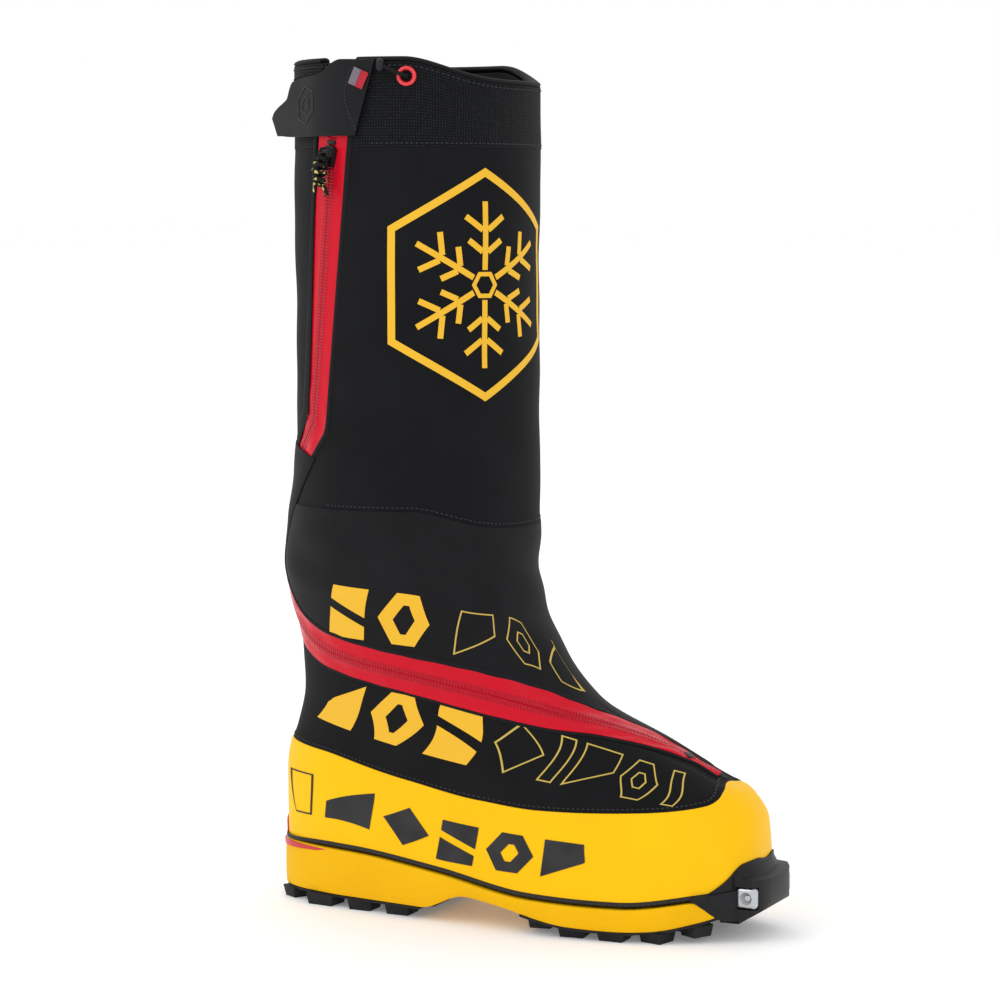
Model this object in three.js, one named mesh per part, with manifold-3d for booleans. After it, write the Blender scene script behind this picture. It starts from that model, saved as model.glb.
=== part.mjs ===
// A double mountaineering boot with a knee-high gaiter: a right boot, modelled closed.
// Millimetres. X runs from the heel to the toe, Y to the inner side of the leg, Z up.
import * as THREE from 'three';
import { mergeVertices } from 'three/addons/utils/BufferGeometryUtils.js';
import Module from 'manifold-3d';

const wasm = await Module();
wasm.setup();

// ---- driving dimensions ----
const FOOT_LENGTH = 318.5;      // heel to the front of the rand
const HEEL_WIDTH = 88;          // over the rand
const BALL_WIDTH = 117;         // over the rand
const SHAFT_RADIUS = 75.6;      // outside of the gaiter shaft
const SHAFT_AXIS = 90;          // shaft centre, ahead of the heel
const RIM_HEIGHT = 526;         // top of the gaiter, at the back
const RIM_DIP = 13;             // how much lower the rim is in front
const SHELL_HEIGHT = 300;       // top of the inner boot's shell
const LINER_HEIGHT = 324;       // top of the padded liner
const COLLAR_SEAM = 472;        // where the collar band starts
const SHAFT_SEAM = 254;         // where the shaft meets the ankle patch, at the side

// ---- thicknesses and clearances ----
const CLEARANCE = 0.35;
const RAND_WALL = 2.4;
const FABRIC_WALL = 2;
const LINING_WALL = 4;
const LINING_DEPTH = FABRIC_WALL + 0.85;
const SHELL_WALL = 2.5;
const LINER_WALL = 6;
const WELT_HEIGHT = 4.5;
const WELT_PROUD = 2;
const WELT_DEPTH = 6;
const FLOOR_WALL = 2;
const LINER_FLOOR = 4;
const FOOTBED_WALL = 4;
const LUG_HEIGHT = 6.5;
const MIDSOLE_PROUD = 2.3;      // over the rand
const LEDGE_PROUD = 3.6;
const RUBBER_BASE = 1.5;
const EDGE_TUCK = 3.2;          // the inner shell lies this far inside the rand's outer face

// ---- zip ----
const TAPE_WIDTH = 24;
const TAPE_DEPTH = 0.6;
const TAPE_WALL = 1;
const COIL_WIDTH = 6;
const COIL_WALL = 1.6;
const SLIDER_WIDTH = 10;
const SLIDER_LENGTH = 13;
const SLIDER_WALL = 2.4;
const SLIDER_LIFT = 0.9;        // over the tape, because the shaft turns a little along the run
const RUN_TOP = { angle: -105, height: 481 };
const RUN_FOOT = { angle: -119.5, height: 306 };
const SLIDER_REST = 467;        // height of the slider's middle with the zip closed
const CORD = 3;                 // thickness of the pull cord

// ---- closure strap, eyelet, drawcord ----
const STRAP_WALL = 2.6;
const STRAP_STANDOFF = 1;
const STRAP_BOTTOM = 479;
const STRAP_TOP = 524;
const STRAP_ROOT = -84;         // angle of its sewn edge
const STRAP_LEAVE = -120;       // angle where it leaves the shaft
const STRAP_FREE = 43;          // length that stands off
const EYELET_ANGLE = -68;
const EYELET_RADIUS = 6;
const EYELET_BORE = 3.4;
const DRAWCORD = 2.2;
const HEM = 12;                 // the drawcord runs this far below the rim

// ---- lacing of the inner boot ----
const DIAL_RADIUS = 12.5;
const DIAL_HEIGHT = 7;
const HUB_RADIUS = 5;
const DIAL_LEVEL = 262;
const GUIDE_ANGLE = 42;
const GUIDE_LEVELS = [152, 188, 226];
const CABLE = 1.6;
const THROAT_ANGLE = 28;
const THROAT_FOOT = 120;

// ---- toe fitting ----
const BUMPER_REACH = 11;        // ahead of the rand
const FITTING_SIZE = 13;
const FITTING_SPAN = 61;        // over its two end faces
const SOCKET_DEPTH = 4;
const TOE_LEDGE = 39.5;         // height of the ledge on the bumper
const TOE_LEDGE_BACK = 5.5;     // the ledge starts this far outside the rand

const { degToRad, lerp, smoothstep } = THREE.MathUtils;
const V = (x, y, z) => new THREE.Vector3(x, y, z);

// Smooth curve through rows of [at, value, value ...], flat at both ends and never overshooting.
function smoothRows(rows) {
  const slopes = rows.map((row, i) => row.slice(1).map((value, k) => {
    if (i === 0 || i === rows.length - 1) return 0;
    const before = (value - rows[i - 1][k + 1]) / (row[0] - rows[i - 1][0]);
    const after = (rows[i + 1][k + 1] - value) / (rows[i + 1][0] - row[0]);
    return before * after <= 0 ? 0 : 2 * before * after / (before + after);
  }));
  return (at) => {
    const spot = THREE.MathUtils.clamp(at, rows[0][0], rows[rows.length - 1][0]);
    let i = 0;
    while (i < rows.length - 2 && spot > rows[i + 1][0]) i++;
    const step = rows[i + 1][0] - rows[i][0];
    const t = (spot - rows[i][0]) / step;
    return rows[i].slice(1).map((value, k) => value * (1 + 2 * t) * (1 - t) ** 2
      + slopes[i][k] * step * t * (1 - t) ** 2 + rows[i + 1][k + 1] * t * t * (3 - 2 * t)
      + slopes[i + 1][k] * step * t * t * (t - 1));
  };
}

// A boot surface: level sections that are blunt ovals, wider at the ball and bent to the inside.
// Each row is [height, back, front, heel half width, ball half width, bluntness].
function bootForm(rows) {
  const section = smoothRows(rows);
  return (angle, height) => {
    const [back, front, heel, ball, blunt] = section(height);
    const turn = degToRad(angle);
    const c = Math.cos(turn);
    const s = Math.sin(turn);
    const x = (back + front) / 2 + (front - back) / 2 * Math.sign(c) * Math.abs(c) ** (2 / blunt);
    const width = lerp(heel, ball, smoothstep(x, 0.19 * FOOT_LENGTH, 0.72 * FOOT_LENGTH));
    const bend = 8 * Math.max(0, (x - 150) / 170) ** 2;
    return V(x, width * Math.sign(s) * Math.abs(s) ** (2 / blunt) + bend, height);
  };
}

const heelHalf = HEEL_WIDTH / 2;
const ballHalf = BALL_WIDTH / 2;
const shaftBack = SHAFT_AXIS - SHAFT_RADIUS;
const shaftFront = SHAFT_AXIS + SHAFT_RADIUS;
const OUTSIDE = bootForm([
  [10, 2, FOOT_LENGTH - 0.5, heelHalf - 2, ballHalf - 0.5, 2.7],
  [45, 1.5, FOOT_LENGTH, heelHalf, ballHalf, 2.7],
  [68, 0.5, FOOT_LENGTH - 1, heelHalf + 0.5, ballHalf - 1.5, 2.55],
  [84, 0, FOOT_LENGTH - 9.5, heelHalf + 1, ballHalf - 4, 2.4],
  [96, 1.5, FOOT_LENGTH - 30.5, heelHalf + 1.5, ballHalf - 6.5, 2.3],
  [112, 7, FOOT_LENGTH - 59.5, heelHalf + 2.5, ballHalf - 8.5, 2.2],
  [135, 12.5, shaftFront + 46.4, heelHalf + 6, ballHalf - 7.5, 2.1],
  [165, 13, shaftFront + 20.4, SHAFT_RADIUS - 17.6, SHAFT_RADIUS - 18.6, 2.05],
  [195, shaftBack - 7.4, shaftFront + 5.4, SHAFT_RADIUS - 9.6, SHAFT_RADIUS - 10.6, 2],
  [215, shaftBack - 10.4, shaftFront + 0.9, SHAFT_RADIUS - 5.6, SHAFT_RADIUS - 6.6, 2],
  [245, shaftBack - 5.4, shaftFront, SHAFT_RADIUS - 2.1, SHAFT_RADIUS - 2.1, 2],
  [275, shaftBack, shaftFront, SHAFT_RADIUS, SHAFT_RADIUS, 2],
  [RIM_HEIGHT + 20, shaftBack, shaftFront, SHAFT_RADIUS, SHAFT_RADIUS, 2],
]);
const INSIDE = bootForm([
  [20, 2 + EDGE_TUCK, FOOT_LENGTH - EDGE_TUCK, heelHalf - EDGE_TUCK - 1, ballHalf - EDGE_TUCK, 2.7],
  [45, 1.5 + EDGE_TUCK, FOOT_LENGTH - EDGE_TUCK, heelHalf - EDGE_TUCK, ballHalf - EDGE_TUCK, 2.7],
  [68, 1.5 + EDGE_TUCK, FOOT_LENGTH - 5.5, heelHalf - EDGE_TUCK, ballHalf - 6, 2.55],
  [84, 8, FOOT_LENGTH - 22, heelHalf - 5, ballHalf - 13.5, 2.4],
  [96, 14, FOOT_LENGTH - 62, heelHalf - 7, ballHalf - 16, 2.3],
  [112, 20, FOOT_LENGTH - 95, heelHalf - 7.5, ballHalf - 17.5, 2.2],
  [135, 24, 188, heelHalf - 5, ballHalf - 17, 2.1],
  [165, 25, 162, heelHalf, ballHalf - 13, 2.05],
  [195, 25, 149, heelHalf + 3.5, ballHalf - 9.5, 2],
  [240, 25, 141, heelHalf + 7, ballHalf - 6.5, 2],
  [LINER_HEIGHT + 10, 25, 140, heelHalf + 9, ballHalf - 5, 2],
]);

// A point under (or, with a negative depth, over) a surface.
function under(form, angle, height, depth) {
  const spot = form(angle, height);
  const around = form(angle + 0.4, height).sub(form(angle - 0.4, height));
  const up = form(angle, height + 0.4).sub(form(angle, height - 0.4));
  return spot.addScaledVector(around.cross(up).normalize(), -depth);
}

// The sole's long curves, by distance from the heel.
const soleCurve = (rows) => {
  const curve = smoothRows(rows.map(([share, height]) => [share * FOOT_LENGTH, height]));
  return (x) => curve(x)[0];
};
const weltFoot = soleCurve([[0, 38], [0.19, 37], [0.4, 31], [0.6, 22], [0.78, 20.5], [0.93, 26.5],
  [1.04, 31]]);
const midsoleFoot = soleCurve([[0, 8.3], [0.36, 8.3], [0.46, 18.5], [0.53, 16], [0.68, 7.5], [0.78, 6.5],
  [0.84, 7.5], [0.92, 13], [1.04, 24]]);
const lowX = (angle) => OUTSIDE(angle, 40).x;
const weltLine = (angle) => weltFoot(lowX(angle));
const randFoot = (angle) => weltLine(angle) + WELT_HEIGHT + CLEARANCE;
const FLOOR_GAP = 1.2;            // the shell's floor lies this far over the lasting board
const floorLine = (angle) => weltLine(angle) + WELT_HEIGHT + FLOOR_GAP + 0.5;

// The rand's top edge: high over the toe and the heel, low beside the ball.
const randCurve = smoothRows([[0, 92], [14, 88.5], [30, 81.5], [55, 77.5], [80, 76], [105, 86], [135, 98],
  [180, 102]]);
const randTop = (angle) => randCurve(Math.abs(angle))[0];
const shaftFoot = (angle) => SHAFT_SEAM - 12 * smoothstep(Math.cos(degToRad(angle)), 0.4, 1);
const rim = (angle) => RIM_HEIGHT - RIM_DIP * smoothstep(Math.cos(degToRad(angle)), 0.35, 1);

// ---- solids ----
// Joins a row of closed outlines, each with as many points, into one closed body.
function loft(outlines, ring = false) {
  const count = outlines[0].length;
  const points = outlines.flat();
  const faces = [];
  const rows = ring ? outlines.length : outlines.length - 1;
  for (let k = 0; k < rows; k++) {
    for (let i = 0; i < count; i++) {
      const a = k * count + i;
      const b = k * count + (i + 1) % count;
      const next = (k + 1) % outlines.length * count;
      const c = next + (i + 1) % count;
      const d = next + i;
      faces.push(a, b, c, a, c, d);
    }
  }
  if (!ring) {
    const last = (outlines.length - 1) * count;
    for (let i = 0; i < count / 2 - 1; i++) {
      const [a, b, c, d] = [i, i + 1, count - 2 - i, count - 1 - i];
      faces.push(a, c, b, a, d, c, last + a, last + b, last + c, last + a, last + c, last + d);
    }
  }
  const geometry = new THREE.BufferGeometry();
  const numbers = points.flatMap((p) => p.toArray());
  geometry.setAttribute('position', new THREE.Float32BufferAttribute(numbers, 3));
  geometry.setIndex(faces);
  return faceOut(withoutCollapsed(mergeVertices(geometry, 1e-3)));
}

// Leaves out faces whose corners have met, where a level stops at an edge curve.
function withoutCollapsed(geometry) {
  const index = geometry.index.array;
  const kept = [];
  for (let i = 0; i < index.length; i += 3) {
    const [a, b, c] = [index[i], index[i + 1], index[i + 2]];
    if (a !== b && b !== c && a !== c) kept.push(a, b, c);
  }
  return geometry.setIndex(kept);
}

// Turns a closed body's faces outwards.
function faceOut(geometry) {
  const place = geometry.attributes.position;
  const index = geometry.index.array;
  const corner = (i) => V().fromBufferAttribute(place, index[i]);
  let volume = 0;
  for (let i = 0; i < index.length; i += 3) {
    volume += corner(i).dot(corner(i + 1).cross(corner(i + 2)));
  }
  if (volume < 0) geometry.setIndex(Array.from(index).reverse());
  return geometry;
}

function solidOf(geometry) {
  const plain = geometry.clone();
  plain.deleteAttribute('normal');
  plain.deleteAttribute('uv');
  const merged = mergeVertices(plain, 1e-4);
  return new wasm.Manifold(new wasm.Mesh({
    numProp: 3,
    vertProperties: new Float32Array(merged.attributes.position.array),
    triVerts: new Uint32Array(merged.index.array),
  }));
}

function geometryOf(solid) {
  const { vertProperties, triVerts } = solid.getMesh();
  const geometry = new THREE.BufferGeometry();
  geometry.setAttribute('position', new THREE.BufferAttribute(new Float32Array(vertProperties), 3));
  geometry.setIndex(new THREE.BufferAttribute(new Uint32Array(triVerts), 1));
  return geometry;
}

// A cut can leave loose shavings: only the largest body is kept.
function mainBody(solid) {
  const bodies = solid.decompose().sort((a, b) => b.volume() - a.volume());
  return geometryOf(bodies[0]);
}
const cut = (body, ...tools) => mainBody(
  tools.reduce((left, tool) => left.subtract(solidOf(tool)), solidOf(body)));
const join = (body, ...more) => geometryOf(
  more.reduce((all, piece) => all.add(solidOf(piece)), solidOf(body)));
const overlap = (body, tool) => mainBody(solidOf(body).intersect(solidOf(tool)));

const span = (from, to, steps) => Array.from({ length: steps + 1 }, (_, i) => lerp(from, to, i / steps));
// Angles round a shell: even steps, with closer ones at the long flat sides and the two ends.
const HALF = [4, 12, 24, 36, 48, 60, 72, 80, 85, 90, 95, 101, 112, 124, 136, 148, 160, 170, 176];
const fullTurn = [-180, ...HALF.slice().reverse().map((angle) => -angle), 0, ...HALF];
// Heights that every shell of one form shares, so that layers keep their distance.
const OUTSIDE_LEVELS = [45, 68, 80, 86, 92, 106, 120, 138, 160, 180, 198, 215, 232, 252, 275];
const INSIDE_LEVELS = [45, 68, 84, 98, 112, 130, 150, 170, 195, 240];

// A shell between two depths under a surface, from one edge curve to another.
function band(form, angles, low, high, outer, inner) {
  const shared = form === INSIDE ? INSIDE_LEVELS : OUTSIDE_LEVELS;
  const lowest = Math.min(...angles.map(low));
  const highest = Math.max(...angles.map(high));
  const levels = shared.filter((level) => level > lowest && level < highest);
  const outlines = angles.map((angle) => {
    const [foot, top] = [low(angle), high(angle)];
    const heights = [foot, ...levels.map((level) => THREE.MathUtils.clamp(level, foot, top)), top];
    return [
      ...heights.map((height) => under(form, angle, height, outer)),
      ...heights.slice().reverse().map((height) => under(form, angle, height, inner)),
    ];
  });
  return loft(outlines, angles === fullTurn);
}

// A plate inside a surface's outline, between two long curves over the distance from the heel.
function plate(form, low, high, inset, angles = HALF) {
  return loft(angles.map((angle) => {
    const corner = (side, curve) => {
      const spot = under(form, side * angle, weltLine(angle), inset);
      return spot.setZ(curve(spot.x));
    };
    return [corner(-1, low), corner(1, low), corner(1, high), corner(-1, high)];
  }));
}
const raised = (curve, by) => (x) => curve(x) + by;

const block = (x, y, z) => new THREE.BoxGeometry(x, y, z);
const rod = (radius, length, sides = 24) => new THREE.CylinderGeometry(radius, radius, length, sides);

// Turns geometry made along Y to stand out of a surface, and takes it there.
function standOut(geometry, form, angle, height, depth) {
  const out = under(form, angle, height, -1).sub(under(form, angle, height, 0)).normalize();
  const turn = new THREE.Quaternion().setFromUnitVectors(V(0, 1, 0), out);
  const spot = under(form, angle, height, depth);
  return geometry.applyQuaternion(turn).translate(spot.x, spot.y, spot.z);
}

// A tube of even thickness along a route.
function tube(route, thickness, steps, sides = 8, closed = false) {
  const round = new THREE.Shape();
  for (let i = 0; i < sides; i++) {
    const turn = 2 * Math.PI * i / sides;
    round[i ? 'lineTo' : 'moveTo'](thickness / 2 * Math.cos(turn), thickness / 2 * Math.sin(turn));
  }
  const path = new THREE.CatmullRomCurve3(route, closed);
  return new THREE.ExtrudeGeometry(round, { steps, bevelEnabled: false, extrudePath: path });
}

// ---- the zip's line ----
// It leaves the toe ridge, crosses the outer side, swings round the back of the ankle and then
// runs straight up the shaft. Each row is [angle, height].
const LOW_RUN = [[1, 95], [0, 103], [-4, 111], [-11, 118.5], [-22, 125.5], [-35, 131], [-55, 141], [-72, 148],
  [-92, 155], [-113, 161], [-129, 167], [-144, 177], [-156, 193], [-162, 212], [-161, 232], [-154, 253],
  [-143, 272], [-131, 290]];
const runFoot = under(OUTSIDE, RUN_FOOT.angle, RUN_FOOT.height, 0);
const runTop = under(OUTSIDE, RUN_TOP.angle, RUN_TOP.height, 0);
const runDirection = runTop.clone().sub(runFoot).normalize();
const runRise = RUN_TOP.height - RUN_FOOT.height;
const runAt = (height) => runFoot.clone().lerp(runTop, (height - RUN_FOOT.height) / runRise);
const shaftAngle = (spot) => THREE.MathUtils.radToDeg(Math.atan2(spot.y, spot.x - SHAFT_AXIS));
const STRAIGHT_STEPS = 8;
const TAPE_TOP = 513;

const lowPoints = new THREE.CatmullRomCurve3(
  [...LOW_RUN, [RUN_FOOT.angle, RUN_FOOT.height]].map(([angle, height]) => V(angle, height, 0)),
).getSpacedPoints(30).slice(0, -1).map((p) => ({ angle: p.x, height: p.y, sink: 0 }));
const highPoints = span(RUN_FOOT.height, TAPE_TOP, STRAIGHT_STEPS).map((height) => {
  const spot = runAt(height);
  const radius = Math.hypot(spot.x - SHAFT_AXIS, spot.y);
  return { angle: shaftAngle(spot), height, sink: SHAFT_RADIUS - radius };
});
// The first point is only the end of the slot; the tapes start at the second.
const slotEnd = { angle: LOW_RUN[0][0], height: LOW_RUN[0][1] - 1.2, sink: 0 };
const zipLine = [slotEnd, ...lowPoints, ...highPoints];
const TAPE_FIRST = 1;

// The surface spot that lies a short way to the side of the zip's line.
function besideZip(k, side, depth) {
  const before = zipLine[Math.max(k - 1, 0)];
  const after = zipLine[Math.min(k + 1, zipLine.length - 1)];
  const { angle, height, sink } = zipLine[k];
  const along = OUTSIDE(after.angle, after.height).sub(OUTSIDE(before.angle, before.height));
  const step = 0.5;
  const perAngle = OUTSIDE(angle + step, height).sub(OUTSIDE(angle - step, height)).divideScalar(2 * step);
  const perHeight = OUTSIDE(angle, height + step).sub(OUTSIDE(angle, height - step)).divideScalar(2 * step);
  const out = perAngle.clone().cross(perHeight).normalize();
  const across = along.cross(out).normalize().multiplyScalar(side);
  const [aa, ah, hh] = [perAngle.dot(perAngle), perAngle.dot(perHeight), perHeight.dot(perHeight)];
  const [ra, rh] = [perAngle.dot(across), perHeight.dot(across)];
  const scale = aa * hh - ah * ah;
  const turn = (ra * hh - rh * ah) / scale;
  const rise = (rh * aa - ra * ah) / scale;
  return under(OUTSIDE, angle + turn, height + rise, depth + sink);
}

// A strip that follows the zip between two distances to its side and two depths.
function zipStrip(from, to, outer, inner, first = 0, last = zipLine.length - 1) {
  const across = span(from, to, Math.ceil((to - from) / 8));
  const outlines = [];
  for (let k = first; k <= last; k++) {
    outlines.push([
      ...across.map((side) => besideZip(k, side, outer)),
      ...across.slice().reverse().map((side) => besideZip(k, side, inner)),
    ]);
  }
  return loft(outlines);
}

const boot = new THREE.Group();
function add(name, geometry, colour, roughness = 0.7, metalness = 0) {
  const finish = new THREE.MeshStandardMaterial({ color: colour, roughness, metalness });
  const piece = new THREE.Mesh(geometry, finish);
  piece.name = name;
  boot.add(piece);
}

const BLACK = 0x1e1e22;
const RUBBER = 0x26262a;
const YELLOW = 0xfdc80f;
const RED = 0xc0002a;
const GREY = 0x55565c;
const STEEL = 0xb8bcc0;

// ---- toe fitting: a steel bar across the toe, with a conical socket in each end ----
const FITTING_AT = V(FOOT_LENGTH, 7.5, 27.4);
const BAR_SIZE = 8;
const BAR_DROP = 3.4;
const HEAD_LENGTH = 6;
function fitting(room) {
  const head = (side) => block(FITTING_SIZE + room, HEAD_LENGTH + room, FITTING_SIZE + room)
    .translate(FITTING_AT.x, FITTING_AT.y + side * (FITTING_SPAN - HEAD_LENGTH) / 2, FITTING_AT.z);
  const bar = block(BAR_SIZE + room, FITTING_SPAN - HEAD_LENGTH, BAR_SIZE + room)
    .translate(FITTING_AT.x, FITTING_AT.y, FITTING_AT.z - BAR_DROP);
  return join(bar, head(1), head(-1));
}
function socket(side) {
  const cone = new THREE.CylinderGeometry(3.4, 1, SOCKET_DEPTH + 0.02, 16).rotateX(side * Math.PI / 2);
  return cone.translate(FITTING_AT.x, FITTING_AT.y + side * (FITTING_SPAN - SOCKET_DEPTH) / 2, FITTING_AT.z);
}
const fittingBed = fitting(2 * CLEARANCE);
add('toe_fitting', cut(fitting(0), socket(1), socket(-1)), STEEL, 0.3, 1);

// ---- outsole: a thin rubber base with separate lugs, in a heel and a forefoot piece ----
function outsole(angles, lugs) {
  const top = raised(midsoleFoot, -CLEARANCE);
  const base = plate(OUTSIDE, raised(top, -RUBBER_BASE), top, 0.5 - MIDSOLE_PROUD, angles);
  const blocks = lugs.map(([x, y, length, width, turn]) => {
    const height = top(x) - RUBBER_BASE / 2;
    const rest = Math.max(height - RUBBER_BASE / 2 - LUG_HEIGHT, 0);
    const taper = 0.86;
    return new THREE.CylinderGeometry(1, taper, height - rest, 4, 1)
      .rotateY(Math.PI / 4)
      .rotateX(Math.PI / 2)
      .scale(length / Math.SQRT2, width / Math.SQRT2, 1)
      .rotateZ(degToRad(turn))
      .translate(x, y, (height + rest) / 2);
  });
  const above = plate(OUTSIDE, top, () => 60, -5);
  return cut(join(base, ...blocks), above, fittingBed);
}
const both = (x, y, length, width, turn) => [[x, -y, length, width, -turn], [x, y, length, width, turn]];
const HEEL_LUGS = [...both(14, 15, 13, 22, 30), ...both(39, 30, 20, 17, 6), ...both(68, 33, 17, 16, 0),
  ...both(95, 34, 17, 17, 0), [45, 0, 15, 22, 0], [73, 0, 15, 26, 0], [99, 0, 15, 26, 0]];
const FORE_LUGS = [...both(194, 40, 15, 16, -8), ...both(217, 44, 17, 16, -6), ...both(243, 44, 17, 16, 0),
  ...both(268, 38, 16, 16, 14), ...both(289, 28, 14, 15, 28), [196, 0, 13, 34, 0], [220, 0, 15, 38, 0],
  [247, 2, 15, 38, 0], [273, 4, 14, 30, 0], [301, 6, 14, 24, 0]];
const HEEL_SOLE = HALF.filter((angle) => angle > 100);
const FORE_SOLE = HALF.filter((angle) => angle < 86);
add('outsole_heel', outsole(HEEL_SOLE, HEEL_LUGS), RUBBER, 0.85);
add('outsole_forefoot', outsole(FORE_SOLE, FORE_LUGS), RUBBER, 0.85);

// ---- midsole, crampon ledge at the heel, welt and lasting board ----
const LEDGE_ANGLES = [124, 136, 148, 160, 170, 176, 180, 184, 190, 200, 212, 224, 236];
const LEDGE_DEPTH = 9;
const ledgeShare = (angle) => smoothstep(Math.abs(angle - 180), 20, 56);
const ledgeFoot = (angle) => weltLine(angle) - lerp(5.2, 2.6, ledgeShare(angle));
const ledgeTop = (angle) => weltLine(angle) - 0.6;
const ledge = band(OUTSIDE, LEDGE_ANGLES, ledgeFoot, ledgeTop, -LEDGE_PROUD, LEDGE_DEPTH);
const ledgeBed = band(OUTSIDE, [123.4, ...LEDGE_ANGLES.slice(1, -1), 236.6],
  (angle) => ledgeFoot(angle) - CLEARANCE, (angle) => weltLine(angle) + 2,
  -LEDGE_PROUD - 2, LEDGE_DEPTH + CLEARANCE);
const midsole = plate(OUTSIDE, midsoleFoot, raised(weltFoot, -CLEARANCE), -MIDSOLE_PROUD);
const weltTop = (angle) => weltLine(angle) + WELT_HEIGHT;
const welt = band(OUTSIDE, fullTurn, weltLine, weltTop, -WELT_PROUD, WELT_DEPTH);
add('heel_ledge', ledge, 0xd0303a, 0.4);
add('midsole', cut(midsole, ledgeBed, fittingBed), 0xffc000, 0.55);
add('welt', cut(welt, fittingBed), RUBBER, 0.75);
add('lasting_board', plate(OUTSIDE, weltFoot, raised(weltFoot, WELT_HEIGHT), WELT_DEPTH + 0.5),
  0x2c2c2e, 0.5);

// ---- toe bumper: a rubber block round the toe with a ledge for a crampon's toe bail ----
function toeBumper() {
  const middle = FITTING_AT.y;
  const front = FOOT_LENGTH + BUMPER_REACH;
  const side = FITTING_SPAN / 2;
  const outline = [[front, 14], [front - 2.5, 23], [front - 7, side - 0.3], [front - 18, side + 0.3],
    [front - 32, side + 6.5], [front - 40, side + 8]];
  const plan = new THREE.Shape([
    ...outline.map(([x, y]) => new THREE.Vector2(x, middle - y)),
    ...outline.slice().reverse().map(([x, y]) => new THREE.Vector2(x, middle + y)),
  ]);
  const profile = new THREE.Shape([[front - 44, 26], [front - 44, 31], [front - 30, 33], [front - 20, 38],
    [front - 14, 45], [front - 6, 46], [front + 2, 41], [front + 2, 27], [front - 3, 19], [front - 12, 14],
    [front - 22, 14.5], [front - 34, 21]].map(([x, z]) => new THREE.Vector2(x, z)));
  const depth = (shape, length) => new THREE.ExtrudeGeometry(shape, { depth: length, bevelEnabled: false });
  const sideways = depth(profile, 140).rotateX(Math.PI / 2).translate(0, middle + 70, 0);
  const body = overlap(depth(plan, 60), sideways);
  const core = plate(OUTSIDE, () => 4, () => 70, -MIDSOLE_PROUD - CLEARANCE - 0.05);
  const rise = plate(OUTSIDE, () => 0, () => 90, -TOE_LEDGE_BACK);
  const overLedge = cut(block(90, 160, 20).translate(front - 20, middle, TOE_LEDGE + 10), rise);
  return cut(body, core, fittingBed, overLedge);
}
add('toe_bumper', toeBumper(), RUBBER, 0.6);

// ---- gaiter: rand, lower panel, ankle patch, shaft, collar ----
const slotHalf = TAPE_WIDTH / 2 + CLEARANCE;
const slot = zipStrip(-slotHalf, slotHalf, -5, FABRIC_WALL + 0.5);
const COIL_DEPTH = TAPE_DEPTH + TAPE_WALL + 0.8;
const grooveHalf = COIL_WIDTH / 2 + 0.6;
const groove = zipStrip(-grooveHalf, grooveHalf, -3, COIL_DEPTH + COIL_WALL + 0.5);
add('rubber_rand', band(OUTSIDE, fullTurn, randFoot, randTop, 0, RAND_WALL), YELLOW, 0.35);

// Seam between the ankle patch and the lower panel: the zip outside, a sewn line inside.
const innerSeam = [[30, 112], [60, 130], [90, 146], [120, 158], [150, 172], [180, 192]];
const outerSeam = LOW_RUN.slice(0, LOW_RUN.findIndex(([angle]) => angle < -150) + 1).reverse();
const seamCurve = smoothRows([[-180, 192], [-163, 214], ...outerSeam, ...innerSeam]);
const seam = (shift) => (angle) => seamCurve(angle)[0] + shift;
const seamTool = (shift) => band(OUTSIDE, fullTurn, seam(shift), () => SHAFT_SEAM + 20, -5, 5);
const ankleBand = band(OUTSIDE, fullTurn, (angle) => randTop(angle) + CLEARANCE,
  (angle) => shaftFoot(angle) - CLEARANCE, 0, FABRIC_WALL);
add('lower_panel', cut(ankleBand, seamTool(-0.3), slot), BLACK, 0.75);
add('ankle_patch', cut(overlap(ankleBand, seamTool(0.3)), slot), BLACK, 0.7);
const shaft = band(OUTSIDE, fullTurn, shaftFoot, () => COLLAR_SEAM - CLEARANCE, 0, FABRIC_WALL);
add('gaiter_shaft', cut(shaft, slot), BLACK, 0.8);

const HOLE = EYELET_BORE + 1.2;
const BINDING = 4;
const underBinding = (angle) => rim(angle) - BINDING - CLEARANCE;
const collar = band(OUTSIDE, fullTurn, () => COLLAR_SEAM, underBinding, 0, FABRIC_WALL);
const aboveTape = block(30, TAPE_WIDTH + 3, 60).translate(SHAFT_RADIUS, 0, TAPE_TOP + 26)
  .rotateZ(degToRad(shaftAngle(runAt(TAPE_TOP)))).translate(SHAFT_AXIS, 0, 0);
const eyeletHole = standOut(rod(HOLE, 12, 16), OUTSIDE, EYELET_ANGLE, RIM_HEIGHT - HEM, 0);
add('collar_band', cut(collar, slot, aboveTape, eyeletHole), BLACK, 0.95);
const LINING_TOP = HEM + 6;
const LINING_INSIDE = LINING_DEPTH + LINING_WALL;
const lining = band(OUTSIDE, fullTurn, (angle) => randTop(angle) + 5.5, (angle) => rim(angle) - LINING_TOP,
  LINING_DEPTH, LINING_INSIDE);
const tapeBed = zipStrip(-TAPE_WIDTH / 2 - 0.6, TAPE_WIDTH / 2 + 0.6, -3, TAPE_DEPTH + TAPE_WALL + 0.4);
add('gaiter_lining', cut(lining, groove, tapeBed), 0x34353a, 0.95);
const FACING_WALL = 1.4;
const hemFacing = band(OUTSIDE, fullTurn, (angle) => rim(angle) - LINING_TOP + CLEARANCE, underBinding,
  LINING_INSIDE - FACING_WALL, LINING_INSIDE);
add('hem_facing', cut(hemFacing, aboveTape), BLACK, 0.9);
const binding = band(OUTSIDE, fullTurn, (angle) => rim(angle) - BINDING, rim, 0, LINING_INSIDE);
add('collar_binding', cut(binding, aboveTape), 0x2b2b30, 0.7);

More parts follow.
